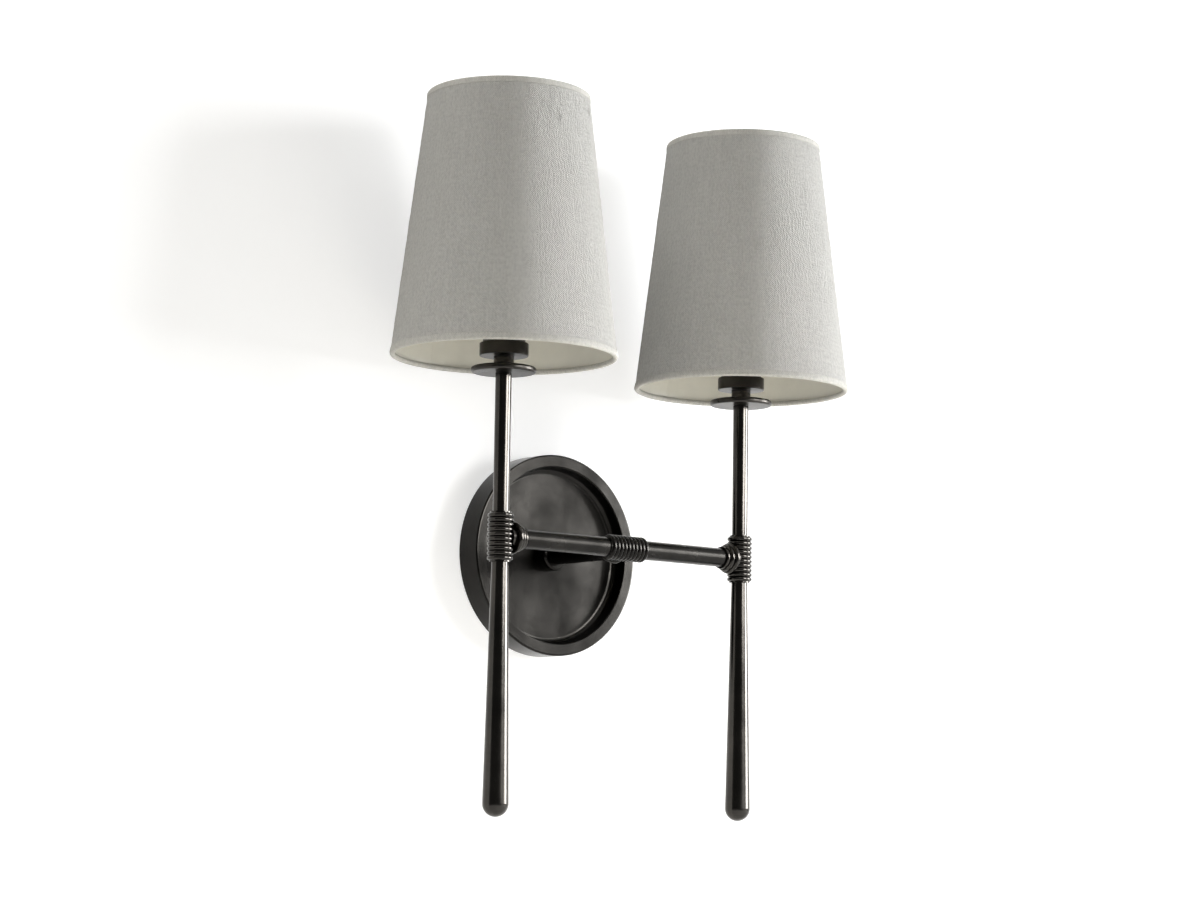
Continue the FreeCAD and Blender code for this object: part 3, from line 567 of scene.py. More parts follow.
RIB_STEPS = 8       # points along each rib's round
END_CORNERS = 6     # corners of a sleeve's lips and bore, after its ribs


def dress(tree, geometry, given, out):
    """Ends a tree with real geometry and its material."""
    ready = add(tree, "GeometryNodeRealizeInstances", {"Geometry": geometry})
    dressed = add(tree, "GeometryNodeSetMaterial", {"Geometry": ready.outputs[0], "Material": given["Material"]})
    give(tree, out, Geometry=dressed.outputs[0])
    return tree


def ribbed_sleeve_tree():
    """A sleeve of round ribs in a row about +Z, with a plain lip at each end and a bore."""
    tree, given, out = new_tree(
        "Ribbed sleeve", "GeometryNodeTree",
        [("Ribs", "Int", 10), ("Pitch", "Float", 0.0029), ("Depth", "Float", 0.0009),
         ("First Radius", "Float", 0.008), ("Last Radius", "Float", 0.008), ("Start", "Float", 0.0),
         ("Lip Radius", "Float", 0.0066), ("Low Lip", "Float", 0.0008), ("High Lip", "Float", 0.0008),
         ("Bore", "Float", 0.004), ("Segments", "Int", 96)],
        [("Geometry", "Geometry")])
    times, plus, minus, divided, times_plus = sums(tree)
    ribs, pitch, depth, start = given["Ribs"], given["Pitch"], given["Depth"], given["Start"]
    lip, bore, first = given["Lip Radius"], given["Bore"], given["First Radius"]
    last_step = times(ribs, float(RIB_STEPS))
    points = plus(last_step, END_CORNERS + 1.0)
    rows = plus(points, 1.0)
    columns = plus(given["Segments"], 1.0)
    grid = add(tree, "GeometryNodeMeshGrid", {"Vertices X": columns, "Vertices Y": rows})
    index = tree.nodes.new("GeometryNodeInputIndex").outputs[0]
    column = maths(tree, "FLOOR", divided(plus(index, 0.5), rows))
    row = minus(index, times(column, rows))
    step = times(row, maths(tree, "LESS_THAN", row, minus(points, 0.5)))
    along = divided(maths(tree, "MINIMUM", step, last_step), float(RIB_STEPS))
    last_rib = minus(ribs, 1.0)
    rib = maths(tree, "MINIMUM", maths(tree, "FLOOR", plus(along, 0.001)), last_rib)
    across = times(minus(minus(along, rib), 0.5), pitch)
    crest = times_plus(minus(given["Last Radius"], first), divided(rib, maths(tree, "MAXIMUM", last_rib, 1.0)), first)
    half = times(pitch, 0.5)
    round_radius = divided(times_plus(half, half, times(depth, depth)), times(depth, 2.0))
    rise = maths(tree, "SQRT", minus(times(round_radius, round_radius), times(across, across)))
    top = times_plus(ribs, pitch, start)
    lip_top, lip_low = plus(top, given["High Lip"]), minus(start, given["Low Lip"])
    corners = [(plus(crest, minus(rise, round_radius)), times_plus(along, pitch, start)), (lip, top), (lip, lip_top),
               (bore, lip_top), (bore, lip_low), (lip, lip_low), (lip, start)]
    pick = add(tree, "GeometryNodeIndexSwitch", data_type="VECTOR")
    while len(pick.index_switch_items) < len(corners):
        pick.index_switch_items.new()
    tree.links.new(maths(tree, "MAXIMUM", minus(step, last_step), 0.0), pick.inputs[0])
    for n, (radius, height) in enumerate(corners):
        tree.links.new(vector(tree, radius, 0.0, height), pick.inputs[n + 1])
    radius, _, height = add(tree, "ShaderNodeSeparateXYZ", {0: pick.outputs[0]}).outputs
    angle = divided(times(column, TURN), given["Segments"])
    place = vector(tree, times(radius, maths(tree, "COSINE", angle)), times(radius, maths(tree, "SINE", angle)), height)
    shaped = add(tree, "GeometryNodeSetPosition", {"Geometry": grid.outputs[0], "Position": place})
    closed = add(tree, "GeometryNodeMergeByDistance", {"Geometry": shaped.outputs[0], "Distance": 1e-6})
    give(tree, out, Geometry=closed.outputs[0])
    return tree


def ribbed_tee_tree():
    """A ribbed barrel with a stepped, ribbed branch."""
    tree, given, out = new_tree(
        "Ribbed tee", "GeometryNodeTree",
        [("Ribs", "Int", 10), ("Branch Ribs", "Int", 3), ("Pitch", "Float", 0.0029), ("Depth", "Float", 0.0009),
         ("Barrel Radius", "Float", 0.008), ("Branch Radius", "Float", 0.010), ("Branch End Radius", "Float", 0.0073),
         ("Lip Radius", "Float", 0.0066), ("Lip", "Float", 0.0008), ("Neck Radius", "Float", 0.007),
         ("Barrel Bore", "Float", 0.004), ("Branch Bore", "Float", 0.004), ("Barrel Turn", "Vector"),
         ("Branch Turn", "Vector"), ("Place", "Vector"), ("Material", "Material")],
        [("Geometry", "Geometry")])
    sleeve = ribbed_sleeve_tree()
    times = sums(tree)[0]
    ribs, pitch, lip, radius = given["Ribs"], given["Pitch"], given["Lip"], given["Barrel Radius"]
    barrel = {"Ribs": ribs, "First Radius": radius, "Last Radius": radius, "Start": times(times(ribs, pitch), -0.5),
              "Lip Radius": given["Lip Radius"], "Low Lip": lip, "High Lip": lip, "Bore": given["Barrel Bore"]}
    branch = {"Ribs": given["Branch Ribs"], "First Radius": given["Branch Radius"],
              "Last Radius": given["Branch End Radius"], "Start": radius, "Lip Radius": given["Neck Radius"],
              "Low Lip": times(radius, 0.35), "High Lip": 0.0, "Bore": given["Branch Bore"]}
    union = add(tree, "GeometryNodeMeshBoolean", operation="UNION", solver="MANIFOLD")
    for values, turn in ((barrel, "Barrel Turn"), (branch, "Branch Turn")):
        piece = add(tree, "GeometryNodeGroup", {**values, "Pitch": pitch, "Depth": given["Depth"]}, node_tree=sleeve)
        rotation = add(tree, "FunctionNodeEulerToRotation", {0: given[turn]}).outputs[0]
        turned = add(tree, "GeometryNodeTransform", {"Geometry": piece.outputs[0], "Rotation": rotation})
        give(tree, union.inputs, Mesh=turned.outputs[0])
    placed = add(tree, "GeometryNodeTransform", {"Geometry": union.outputs[0], "Translation": given["Place"]})
    return dress(tree, placed.outputs[0], given, out)


def slub_tree():
    """Thick places in the upright threads, strewn over a flat cloth that is then wrapped round the shade."""
    tree, given, out = new_tree(
        "Linen slubs", "GeometryNodeTree",
        [("Count", "Int", 400), ("Seed", "Int", 3), ("Length", "Float", 0.012), ("Width", "Float", 0.0005),
         ("Thickness", "Float", 0.0002), ("Margin", "Float", 0.006), ("Bottom Radius", "Float", 0.07),
         ("Top Radius", "Float", 0.05), ("Slant", "Float", 0.164), ("Rise", "Float", 0.163), ("Place", "Vector"),
         ("Material", "Material")],
        [("Geometry", "Geometry")])
    times, plus, minus, divided, times_plus = sums(tree)
    width, length, thick, margin = given["Width"], given["Length"], given["Thickness"], given["Margin"]
    bottom, top, slant, climb = given["Bottom Radius"], given["Top Radius"], given["Slant"], given["Rise"]

    def scattered(least, most, seed):
        return add(tree, "FunctionNodeRandomValue", {0: least, 1: most, "Seed": seed},
                   data_type="FLOAT_VECTOR").outputs[0]

    mean = times(plus(bottom, top), 0.5)
    where = scattered(vector(tree, 0.0, margin), vector(tree, times(mean, TURN), minus(slant, margin)), given["Seed"])
    strewn = add(tree, "GeometryNodePoints", {"Count": given["Count"], "Position": where})
    spindle = add(tree, "GeometryNodeMeshUVSphere", {"Segments": 6, "Rings": 5, "Radius": 0.5})
    least = vector(tree, times(width, 0.6), times(length, 0.3), times(thick, 0.6))
    size = scattered(least, vector(tree, width, length, thick), plus(given["Seed"], 1.0))
    laid = add(tree, "GeometryNodeInstanceOnPoints", {"Points": strewn.outputs[0], "Instance": spindle.outputs[0],
                                                      "Scale": size})
    real = add(tree, "GeometryNodeRealizeInstances", {"Geometry": laid.outputs[0]})
    position = tree.nodes.new("GeometryNodeInputPosition").outputs[0]
    across, along, out_from = add(tree, "ShaderNodeSeparateXYZ", {0: position}).outputs
    run, share = minus(bottom, top), divided(along, slant)
    radius = minus(times_plus(out_from, divided(climb, slant), bottom), times(run, share))
    up = times_plus(climb, share, times(out_from, divided(run, slant)))
    angle = divided(across, mean)
    wrapped = vector(tree, times(radius, maths(tree, "COSINE", angle)), times(radius, maths(tree, "SINE", angle)), up)
    placed = add(tree, "ShaderNodeVectorMath", {0: wrapped, 1: given["Place"]}, operation="ADD").outputs[0]
    set_on = add(tree, "GeometryNodeSetPosition", {"Geometry": real.outputs[0], "Position": placed})
    return dress(tree, set_on.outputs[0], given, out)


def screw_thread_tree():
    """A round ridge that climbs a core as a helix."""
    tree, given, out = new_tree(
        "Screw thread", "GeometryNodeTree",
        [("Turns", "Float", 10.0), ("Pitch", "Float", 0.0026), ("Core Radius", "Float", 0.013),
         ("Ridge Radius", "Float", 0.0007), ("Steps", "Int", 64), ("Place", "Vector"), ("Material", "Material")],
        [("Geometry", "Geometry")])
    turns, core = given["Turns"], given["Core Radius"]
    helix = add(tree, "GeometryNodeCurveSpiral",
                {"Resolution": given["Steps"], "Rotations": turns, "Start Radius": core, "End Radius": core,
                 "Height": maths(tree, "MULTIPLY", turns, given["Pitch"])})
    ridge = add(tree, "GeometryNodeCurvePrimitiveCircle", {"Resolution": 10, "Radius": given["Ridge Radius"]})
    swept = add(tree, "GeometryNodeCurveToMesh", {"Curve": helix.outputs[0], "Profile Curve": ridge.outputs[0],
                                                  "Fill Caps": True})
    placed = add(tree, "GeometryNodeTransform", {"Geometry": swept.outputs[0], "Translation": given["Place"]})
    return dress(tree, placed.outputs[0], given, out)


TREES = {}


def grown(name, tree_name, values):
    """Grows a plain mesh from a geometry tree and named values."""
    builders = {"tee": ribbed_tee_tree, "slubs": slub_tree, "thread": screw_thread_tree}
    if tree_name not in TREES:
        TREES[tree_name] = builders[tree_name]()
    host = link(name, bpy.data.meshes.new(name))
    modifier = host.modifiers.new("grow", "NODES")
    modifier.node_group = TREES[tree_name]
    sockets = {item.name: item.identifier for item in modifier.node_group.interface.items_tree
               if item.item_type == "SOCKET" and item.in_out == "INPUT"}
    for title, value in values.items():
        modifier[sockets[title]] = value
    bpy.context.view_layer.update()
    mesh = bpy.data.meshes.new_from_object(host.evaluated_get(bpy.context.evaluated_depsgraph_get()))
    host.modifiers.clear()
    if not mesh.polygons:
        raise RuntimeError(f"{name} grew no faces")
    mesh.name = name
    host.data = mesh
    return host


# ---- Operators ----

class SCONCE_OT_metal(bpy.types.Operator):
    """Gives every solid that stays its finish"""
    bl_idname = "sconce.metal"
    bl_label = "Finish the solids"

    def execute(self, context):
        for node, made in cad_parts.items():
            plain = node.replace("left_", "").replace("right_", "")
            if plain in NODE_FINISHES:
                made.data.materials.clear()
                made.data.materials.append(finish_for(NODE_FINISHES[plain]))
        return {"FINISHED"}


TEE_LIP = 0.0008
SIDE_BRANCH, CENTRE_BRANCH = 1.25, 1.10     # a branch's radius, like the rest as a share of the barrel's
BRANCH_END, LIP_RADIUS, NECK_RADIUS = 0.9125, 0.825, 0.875


class SCONCE_OT_ribbed_tees(bpy.types.Operator):
    """Builds the three ribbed tees"""
    bl_idname = "sconce.ribbed_tees"
    bl_label = "Ribbed tees"

    def execute(self, context):
        settings = context.scene.sconce_metal
        upright, to_wall = (0.0, 0.0, 0.0), (-TURN / 4, 0.0, 0.0)
        to_right, to_left = (0.0, TURN / 4, 0.0), (0.0, -TURN / 4, 0.0)
        radius = settings.barrel_radius
        pitch = 2 * (half_width("centre_tee") - TEE_LIP) / settings.rib_count
        bore, arm_bore = half_width("lamp_nipples", 1), half_width("arm_nipples", 2)
        for node, barrel_turn, branch_turn, branch, branch_bore, place, finish in (
                ("centre_tee", to_right, to_wall, CENTRE_BRANCH, arm_bore, (0.0, LAMP.y, 0.0), "bronze_crossbar"),
                ("left_tee", upright, to_right, SIDE_BRANCH, bore, (-LAMP.x, LAMP.y, 0.0), "bronze_upright"),
                ("right_tee", upright, to_left, SIDE_BRANCH, bore, (LAMP.x, LAMP.y, 0.0), "bronze_upright")):
            piece = grown(node + "_ribbed", "tee", {
                "Ribs": settings.rib_count, "Branch Ribs": settings.branch_ribs, "Pitch": pitch,
                "Depth": settings.rib_depth, "Barrel Radius": radius, "Branch Radius": branch * radius,
                "Branch End Radius": BRANCH_END * radius, "Lip Radius": LIP_RADIUS * radius, "Lip": TEE_LIP,
                "Neck Radius": NECK_RADIUS * radius, "Barrel Bore": bore, "Branch Bore": branch_bore,
                "Barrel Turn": barrel_turn, "Branch Turn": branch_turn, "Place": place,
                "Material": finish_for(finish)})
            settle(piece, "fixture", finish, (node,), sharp=50.0)
        return {"FINISHED"}


SLUB_THICKNESS = 0.00016
SLUB_MARGIN = 0.006     # kept free of slubs at both edges


class SCONCE_OT_linen(bpy.types.Operator):
    """Builds the linen covers with their lapped seams, and the slubs on them"""
    bl_idname = "sconce.linen"
    bl_label = "Linen covers"

    def execute(self, context):
        settings = context.scene.sconce_shade
        for number, (name, side) in enumerate(SIDES):
            mesh = linen_mesh(name + "_linen_cover", lamp_axis(side), settings, number)
            cover = settle(link(name + "_linen_cover", mesh), name + "_shade", "linen",
                           (name + "_shade_cover",), sharp=60.0)
            slubs = grown(name + "_linen_slubs", "slubs", {
                "Count": settings.slub_count, "Seed": 3 + number, "Length": settings.slub_length,
                "Width": settings.slub_width, "Thickness": SLUB_THICKNESS, "Margin": SLUB_MARGIN,
                "Bottom Radius": COVER_BOTTOM_RADIUS, "Top Radius": COVER_TOP_RADIUS, "Slant": SLANT,
                "Rise": SHADE_RISE, "Place": (*lamp_axis(side).xy, COVER_LOW),
                "Material": finish_for("linen")})
            cloth_map(slubs.data, lamp_axis(side))
            settle(slubs, name + "_shade", "linen")
        return {"FINISHED"}


CLOTH_COLUMNS, CLOTH_ROWS = 720, 58
CLOTH_MARGIN = 0.0005       # from the solid's edges to the linen's
CLOTH_DEPTH = 0.0001        # of the linen between its yarns, under the solid's face
CLOTH_WAVE = 0.00003
SEAM_LAP = 0.007
YARN_COUNT = 520
YARN_SWELL, YARN_LIMIT = 0.00006, 0.00012
YARN_WIDTHS, YARN_REACHES = (0.0005, 0.0011), (0.004, 0.025)
LAP_RAMP = 6                # the lap's first sixth rises over the cloth below


def linen_mesh(name, axis_at, settings, seed):
    """The linen as one wrapped sheet whose upright yarns swell and thin, lapped over itself towards the wall."""
    lap = SEAM_LAP / MEAN_RADIUS
    columns = np.linspace(0.0, 1.0, CLOTH_COLUMNS + 1) * (TURN + lap)
    rows = np.linspace(CLOTH_MARGIN / SLANT, 1.0 - CLOTH_MARGIN / SLANT, CLOTH_ROWS + 1)
    angle = (TURN / 4 + columns)[:, None]
    chart_x, chart_y = columns * MEAN_RADIUS, rows * SLANT
    relief = np.zeros((len(columns), len(rows)))
    chance = np.random.default_rng(11 + seed)
    for _ in range(YARN_COUNT):
        at_x, at_y = chance.uniform(0, chart_x[-1]), chance.uniform(0, SLANT)
        width, reach, height = chance.uniform(*YARN_WIDTHS), chance.uniform(*YARN_REACHES), chance.uniform(0.3, 1.0)
        over = np.exp(-((chart_x - at_x) / width) ** 2)[:, None]
        along = np.clip(1 - ((chart_y - at_y) / reach) ** 2, 0, 1)[None, :]
        relief += YARN_SWELL * height * over * along
    relief = np.minimum(relief, YARN_LIMIT)
    relief += CLOTH_WAVE * np.sin(chart_x * 61.0)[:, None] * np.cos(chart_y * 37.0 + 1.0)[None, :]
    lapped = np.clip((columns - TURN) / lap, 0, 1)
    lift = (settings.cloth_thickness * 1.1 * np.clip(lapped * LAP_RAMP, 0, 1))[:, None]

    def skin(out):
        radius = COVER_BOTTOM_RADIUS + rows * SHADE_RUN + out * SHADE_RISE / SLANT
        height = COVER_LOW + rows * SHADE_RISE - out * SHADE_RUN / SLANT
        return np.stack([axis_at.x + radius * np.cos(angle), axis_at.y + radius * np.sin(angle), height],
                        2).reshape(-1, 3)

    outside, inside = skin(relief + lift - CLOTH_DEPTH), skin(lift - settings.cloth_thickness)
    across, up = len(columns), len(rows)
    total = across * up
    n = (np.arange(across - 1)[:, None] * up + np.arange(up - 1)[None, :]).ravel()
    outer = np.stack([n, n + up, n + up + 1, n + 1], 1)
    inner = np.stack([n, n + 1, n + up + 1, n + up], 1) + total
    rim = []
    for a in range(across - 1):
        low, after = a * up, (a + 1) * up
        rim.append((low, low + total, after + total, after))
        low, after = low + up - 1, after + up - 1
        rim.append((low, after, after + total, low + total))
    for b in range(up - 1):
        rim.append((b, b + 1, b + 1 + total, b + total))
        end = (across - 1) * up + b
        rim.append((end, end + total, end + 1 + total, end + 1))
    mesh = bpy.data.meshes.new(name)
    mesh.from_pydata(np.vstack([outside, inside]).tolist(), [], outer.tolist() + inner.tolist() + rim)
    chart = np.stack(np.meshgrid(chart_x, chart_y, indexing="ij"), 2).reshape(-1, 2)
    chart = np.vstack([chart, chart])
    corners = np.zeros(len(mesh.loops), int)
    mesh.loops.foreach_get("vertex_index", corners)
    mesh.uv_layers.new(name="cloth").data.foreach_set("uv", chart[corners].ravel())
    mesh.update()
    return mesh


ROLL_TURN = -275.0      # degrees that the linen runs round the wire
ROLL_FULLNESS, ROLL_DROP = 0.0005, 0.0007
GLUE = 0.00003          # between the linen and the edge that is rolled over it


class SCONCE_OT_rolled_edges(bpy.types.Operator):
    """Builds the linen rolled round the wire at both edges of each shade"""
    bl_idname = "sconce.rolled_edges"
    bl_label = "Rolled edges"

    def execute(self, context):
        settings = context.scene.sconce_shade
        thick, reach = settings.roll_thickness, settings.roll_height
        half_up = WIRE_RADIUS + thick + ROLL_FULLNESS
        level = half_up - ROLL_DROP
        half_out = WIRE_RADIUS + thick + (LINER_INSET + ROLL_FULLNESS) / 2 - PLAY
        middle_out = thick + 2 * PLAY - half_out

        def roll(first, last, inset, steps):
            angles = [math.radians(first + (last - first) * n / steps) for n in range(steps + 1)]
            return [(level + (half_up - inset) * math.sin(a), middle_out + (half_out - inset) * math.cos(a))
                    for a in angles]

        turned = roll(0.0, ROLL_TURN, 0.0, 28)
        flat = [(reach, GLUE), (reach, 4 * GLUE), (0.9 * reach, 7 * GLUE), (0.7 * reach, 0.9 * thick)]
        flat += turned + roll(ROLL_TURN, 0.0, thick, 22)[:-1] + [(level, GLUE)]
        for name, side in SIDES:
            for edge, from_top, radius in (("bottom", False, COVER_BOTTOM_RADIUS), ("top", True, COVER_TOP_RADIUS)):
                outline = [on_slope(up, out, from_top) for up, out in flat]
                mesh = turned_mesh(f"{name}_{edge}_roll", outline, lamp_axis(side), segments=240)
                waver(mesh, lamp_axis(side), 5 + side)
                cloth_map(mesh, lamp_axis(side))
                # The rolls take the darker linen, which paints shade along them.
                settle(link(f"{name}_{edge}_roll", mesh), name + "_shade", "linen_roll")
            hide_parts(name + "_shade_trims")
        return {"FINISHED"}


ROLL_WAVER = 0.00002


def waver(mesh, axis_at, seed):
    """Lets a rolled edge wander a little, as glued cloth does."""
    chance = np.random.default_rng(seed)
    phases = chance.uniform(0, TURN, 5)
    for point in mesh.vertices:
        angle = math.atan2(point.co.y - axis_at.y, point.co.x - axis_at.x)
        swell = sum(math.sin((7 + 9 * n) * angle + phase) for n, phase in enumerate(phases))
        out = Vector((point.co.x - axis_at.x, point.co.y - axis_at.y, 0)).normalized()
        point.co += out * ROLL_WAVER * swell


LINER_STEPS = 12
JOINT_WIDTH, JOINT_THICKNESS = 0.009, 0.00012
JOINT_END = 0.001       # from the liner's folds to the joint's ends


class SCONCE_OT_liners(bpy.types.Operator):
    """Builds the cream liners with their lapped joints"""
    bl_idname = "sconce.liners"
    bl_label = "Liners"

    def execute(self, context):
        fold = 2 * WIRE_RADIUS + 3 * PLAY
        outer, inner = -LINER_INSET - PLAY, -2 * LINER_INSET
        outline = [on_slope(fold, outer), on_slope(fold, outer, True)]
        outline += [on_slope(SLANT - fold - (SLANT - 2 * fold) * n / LINER_STEPS, inner)
                    for n in range(LINER_STEPS + 1)]
        half, end = JOINT_WIDTH / 2 / MEAN_RADIUS, fold + JOINT_END
        for name, side in SIDES:
            axis_at = lamp_axis(side)
            mesh = turned_mesh(name + "_liner", outline, axis_at, segments=180)
            settle(link(name + "_liner", mesh), name + "_shade", "liner", (name + "_shade_liner",))
            shape = bmesh.new()
            corners = []
            for up in (end, SLANT - end):
                for out in (inner, inner - JOINT_THICKNESS):
                    radius, height = on_slope(up, out)
                    for angle in (TURN / 4 - half, TURN / 4 + half):
                        corners.append(shape.verts.new((axis_at.x + radius * math.cos(angle),
                                                        axis_at.y + radius * math.sin(angle), height)))
            for face in ((0, 1, 3, 2), (4, 6, 7, 5), (0, 4, 5, 1), (2, 3, 7, 6), (0, 2, 6, 4), (1, 5, 7, 3)):
                shape.faces.new([corners[n] for n in face])
            bmesh.ops.recalc_face_normals(shape, faces=shape.faces)
            joint = bpy.data.meshes.new(name + "_liner_joint")
            shape.to_mesh(joint)
            shape.free()
            settle(link(name + "_liner_joint", joint), name + "_shade", "liner", sharp=20.0)
        return {"FINISHED"}


def threaded(node, side, body, finish, outline, segments, foot, turns, pitch, core, ridge, steps):
    """A turned piece in place of a node, and the screw thread that climbs it from its foot."""
    axis_at = lamp_axis(side)
    mesh = turned_mesh(node + "_body", outline, axis_at, segments)
    settle(link(node + "_body", mesh), body, finish, (node,))
    made = grown(node + "_thread", "thread", {
        "Turns": turns, "Pitch": pitch, "Core Radius": core, "Ridge Radius": ridge, "Steps": steps,
        "Place": (axis_at.x, axis_at.y, foot), "Material": finish_for(finish)})
    settle(made, body, finish)


HOLDER_EDGE = 0.0008            # radius of the rounds at its foot and top
HOLDER_SHOULDER = 0.0078        # from its foot to where its threaded part begins
HOLDER_RIDGE = 0.0006           # its thread's height
HOLDER_THREAD_FOOT = 0.0092
HOLDER_FLOOR = 0.003            # over the contact's foot
CAP_SHEET = 0.0004
CAP_RIDGE = 0.0007
CAP_TAPER = 0.002               # height of the cone below the thread
CAP_FLARE = (0.003, 0.002)      # from the cap's top down to where it widens
CAP_THREAD_FOOT = 0.0012        # over the taper


class SCONCE_OT_lampholders(bpy.types.Operator):
    """Builds the threaded lampholders and the threads of the bulb caps"""
    bl_idname = "sconce.lampholders"
    bl_label = "Lampholders and caps"

    def execute(self, context):
        for name, side in SIDES:
            node, shell = name + "_lampholder", name + "_screw_shell"
            low, high = (corner.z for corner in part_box(node))
            wall, chamber = radius_at(node, low, NEAR_EDGE)
            root, bore = half_width(node) - HOLDER_RIDGE, half_width(shell) + PLAY
            floor_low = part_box(shell)[0].z
            floor_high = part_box(name + "_centre_contact")[0].z + HOLDER_FLOOR
            edge, shoulder = HOLDER_EDGE, low + HOLDER_SHOULDER
            outline = [(chamber, low), (wall - edge, low)]
            outline += arc_points((wall - edge, low + edge), edge, -90, 0)
            outline += [(wall, shoulder), (root, shoulder)]
            outline += arc_points((root - edge, high - edge), edge, 0, 90)
            outline += [(bore, high), (bore, floor_high), (0.0, floor_high), (0.0, floor_low), (chamber, floor_low)]
            threaded(node, side, "fixture", "black_moulding", outline, 96,
                     low + HOLDER_THREAD_FOOT, turns=11.0, pitch=0.0026, core=root - 0.0001, ridge=0.00062, steps=48)
            cap = name + "_bulb_cap"
            low, high = (corner.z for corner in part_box(cap))
            radius, tip = half_width(cap), half_width(name + "_bulb_tip")
            core, taper = radius - CAP_RIDGE, low + CAP_TAPER
            flare_low, flare_high = (high - below for below in CAP_FLARE)
            outline = [(0.0, low), (tip, low), (core, taper), (core, flare_low), (radius, flare_high), (radius, high),
                       (radius - CAP_SHEET, high), (radius - CAP_SHEET, flare_high), (core - CAP_SHEET, flare_low),
                       (core - CAP_SHEET, taper + CAP_SHEET), (0.0, taper + CAP_SHEET)]
            threaded(cap, side, name + "_bulb", "nickel", outline, 64,
                     taper + CAP_THREAD_FOOT, turns=4.0, pitch=0.0036, core=core - 0.0005, ridge=0.00115, steps=40)
        return {"FINISHED"}


CAMERA_PLACE = Vector((-1.1660, -1.4669, -0.1725))
CAMERA_YAW = math.radians(39.65)      # to the right of straight at the wall
CAMERA_PITCH = math.radians(7.39)     # up
CAMERA_ROLL = math.radians(0.86)
WALL_GAP = 0.0006
FLOOR_LEVEL = -0.75


def plane(name, corners):
    """A flat piece of the studio."""
    mesh = bpy.data.meshes.new(name)
    mesh.from_pydata(corners, [], [tuple(range(len(corners)))])
    made = link(name, mesh)
    return made


def seen_directly(tree):
    """1 for camera, glossy and transmission rays."""
    path = tree.nodes.new("ShaderNodeLightPath").outputs
    seen = maths(tree, "MAXIMUM", path["Is Camera Ray"], path["Is Glossy Ray"])
    return maths(tree, "MAXIMUM", seen, path["Is Transmission Ray"])


def studio_white(colour, glow):
    """A matt white that keeps shadows and can't be seen from behind."""
    made = bpy.data.materials.new("studio_white")
    made.use_nodes = True
    tree = made.node_tree
    tree.nodes.clear()
    tint = mixed(tree, noise(tree, 3.0, 3.0, Vector=object_place(tree)), [0.99 * value for value in colour], colour)
    matt = add(tree, "ShaderNodeBsdfDiffuse", {"Color": tint}).outputs[0]
    shine = add(tree, "ShaderNodeEmission", {"Strength": maths(tree, "MULTIPLY", seen_directly(tree), glow)}).outputs[0]
    front = add(tree, "ShaderNodeAddShader", {0: matt, 1: shine}).outputs[0]
    clear = tree.nodes.new("ShaderNodeBsdfTransparent").outputs[0]
    behind = tree.nodes.new("ShaderNodeNewGeometry").outputs["Backfacing"]
    whole = add(tree, "ShaderNodeMixShader", {0: behind, 1: front, 2: clear}).outputs[0]
    add(tree, "ShaderNodeOutputMaterial", {"Surface": whole})
    return made


def area_lamp(name, place, aim, size, power, colour=(1.0, 1.0, 1.0), in_gloss=True, in_diffuse=True):
    """A lamp that faces a point, and that shows in shine, in matt surfaces or in both."""
    lamp = bpy.data.lights.new(name, "AREA")
    lamp.shape = "RECTANGLE"
    lamp.size, lamp.size_y = size
    lamp.energy = power
    lamp.color = colour
    made = link(name, lamp)
    made.location = place
    made.rotation_euler = (Vector(aim) - Vector(place)).to_track_quat("-Z", "Y").to_euler()
    made.visible_glossy = in_gloss
    made.visible_diffuse = in_diffuse


WARM = (1.0, 0.98, 0.93)


def around(turn, distance, height):
    """A place round the lamps, turned from straight in front towards the right."""
    angle = math.radians(turn)
    return (distance * math.sin(angle), LAMP.y - distance * math.cos(angle), height)


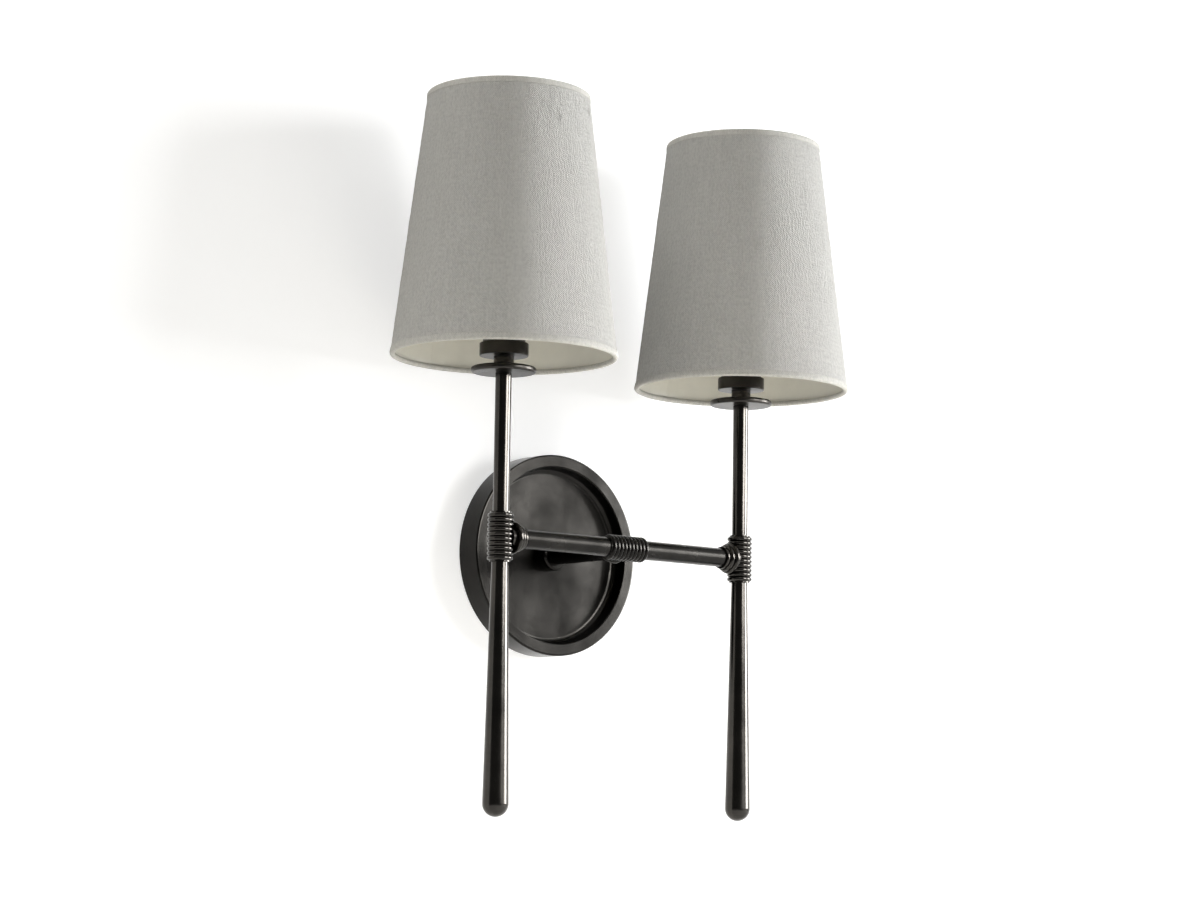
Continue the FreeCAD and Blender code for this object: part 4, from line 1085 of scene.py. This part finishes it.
class SCONCE_OT_stage(bpy.types.Operator):
    """Builds the wall, the floor, the lamps and the camera"""
    bl_idname = "sconce.stage"
    bl_label = "Stage"

    def execute(self, context):
        settings = context.scene.sconce_stage
        white = studio_white(tuple(settings.background), settings.glow)
        wide, tall, deep = 6.0, 4.0, 7.0
        wall = plane("wall", [(-wide, WALL_GAP, FLOOR_LEVEL), (wide, WALL_GAP, FLOOR_LEVEL),
                              (wide, WALL_GAP, tall), (-wide, WALL_GAP, tall)])
        floor = plane("floor", [(-wide, -deep, FLOOR_LEVEL), (wide, -deep, FLOOR_LEVEL),
                                (wide, WALL_GAP, FLOOR_LEVEL), (-wide, WALL_GAP, FLOOR_LEVEL)])
        for made in (wall, floor):
            made.data.materials.append(white)
        self.curtain()
        aim = (0.0, LAMP.y, 0.05)
        area_lamp("key", around(57.0, 3.0, 0.50), aim, (1.2, 1.3), settings.key, (0.985, 0.993, 1.0))
        area_lamp("key_shine", around(63.0, 3.0, 0.50), aim, (1.1, 1.2), 66.0, in_diffuse=False)
        area_lamp("strip", around(18.0, 1.6, 0.47), aim, (0.70, 0.60), 38.0, in_diffuse=False)
        area_lamp("left_fill", around(-84.0, 2.0, 0.10), aim, (1.2, 1.2), 8.0, WARM, in_gloss=False)
        area_lamp("high_fill", (-1.40, -0.22, 1.75), aim, (1.0, 1.0), 17.0, WARM, in_gloss=False)
        area_lamp("low_fill", (0.10, -0.35, -0.73), aim, (1.0, 0.5), 6.4, (1.0, 0.94, 0.80), in_gloss=False)
        self.world(context, settings.fill)
        self.camera(context, settings.lens)
        context.scene.view_settings.view_transform = "Standard"
        return {"FINISHED"}

    def curtain(self):
        """A dark curtain behind the camera that only shows in glossy metal."""
        radius, low, high = 2.6, -1.3, 2.0
        first, last, steps = math.radians(-92.0), math.radians(12.0), 24
        mesh = bpy.data.meshes.new("curtain")
        points, faces = [], []
        for n in range(steps + 1):
            angle = first + (last - first) * n / steps
            x, y = radius * math.sin(angle), LAMP.y - radius * math.cos(angle)
            points += [(x, y, low), (x, y, high)]
        for n in range(steps):
            faces.append((2 * n, 2 * n + 2, 2 * n + 3, 2 * n + 1))
        mesh.from_pydata(points, [], faces)
        curtain = link("curtain", mesh)
        dark = bpy.data.materials.new("dark_cloth")
        dark.use_nodes = True
        dark.node_tree.nodes.clear()
        glow = add(dark.node_tree, "ShaderNodeEmission", {"Color": (1, 1, 1, 1), "Strength": 0.12})
        add(dark.node_tree, "ShaderNodeOutputMaterial", {"Surface": glow.outputs[0]})
        mesh.materials.append(dark)
        curtain.visible_camera = False
        curtain.visible_diffuse = False
        curtain.visible_transmission = False
        curtain.visible_shadow = False

    def world(self, context, fill):
        """White to the camera and in shine, and dim to matt surfaces."""
        made = bpy.data.worlds.new("studio")
        made.use_nodes = True
        tree = made.node_tree
        tree.nodes.clear()
        white = add(tree, "ShaderNodeBackground", {"Color": (1, 1, 1, 1), "Strength": 1.0}).outputs[0]
        dim = add(tree, "ShaderNodeBackground", {"Color": (1.0, 0.97, 0.87, 1), "Strength": fill}).outputs[0]
        whole = add(tree, "ShaderNodeMixShader", {0: seen_directly(tree), 1: dim, 2: white}).outputs[0]
        add(tree, "ShaderNodeOutputWorld", {"Surface": whole})
        context.scene.world = made

    def camera(self, context, lens):
        """The photo's camera."""
        data = bpy.data.cameras.new("camera")
        data.sensor_width = 36.0
        data.lens = lens
        data.clip_start, data.clip_end = 0.01, 60.0
        made = link("camera", data)
        turn = Matrix.Rotation(-CAMERA_YAW, 4, "Z") @ Matrix.Rotation(TURN / 4 + CAMERA_PITCH, 4, "X")
        made.matrix_world = Matrix.Translation(CAMERA_PLACE) @ turn @ Matrix.Rotation(CAMERA_ROLL, 4, "Z")
        context.scene.camera = made


class SCONCE_PT_panel(bpy.types.Panel):
    """Lists the pieces of the sconce and their sizes"""
    bl_label = "Sconce"
    bl_idname = "SCONCE_PT_panel"
    bl_space_type = "VIEW_3D"
    bl_region_type = "UI"
    bl_category = "Sconce"

    def draw(self, context):
        for operator in OPERATORS:
            self.layout.operator(operator.bl_idname)
        for group_name in ("sconce_shade", "sconce_metal", "sconce_stage"):
            settings = getattr(context.scene, group_name)
            column = self.layout.column()
            for title in settings.__annotations__:
                column.prop(settings, title)


OPERATORS = (SCONCE_OT_metal, SCONCE_OT_ribbed_tees, SCONCE_OT_linen, SCONCE_OT_rolled_edges, SCONCE_OT_liners,
             SCONCE_OT_lampholders, SCONCE_OT_stage)
SETTINGS = (("sconce_shade", ShadeSettings), ("sconce_metal", MetalSettings), ("sconce_stage", StageSettings))


def register():
    for _, kind in SETTINGS:
        bpy.utils.register_class(kind)
    for title, kind in SETTINGS:
        setattr(bpy.types.Scene, title, bpy.props.PointerProperty(type=kind))
    for kind in OPERATORS + (SCONCE_PT_panel,):
        bpy.utils.register_class(kind)


def unregister():
    for kind in (SCONCE_PT_panel,) + OPERATORS:
        bpy.utils.unregister_class(kind)
    for title, kind in SETTINGS:
        delattr(bpy.types.Scene, title)
        bpy.utils.unregister_class(kind)


def main():
    register()
    bpy.ops.sconce.metal()
    bpy.ops.sconce.ribbed_tees()
    bpy.ops.sconce.linen()
    bpy.ops.sconce.rolled_edges()
    bpy.ops.sconce.liners()
    bpy.ops.sconce.lampholders()
    bpy.ops.sconce.stage()


if __name__ == "__main__":
    main()
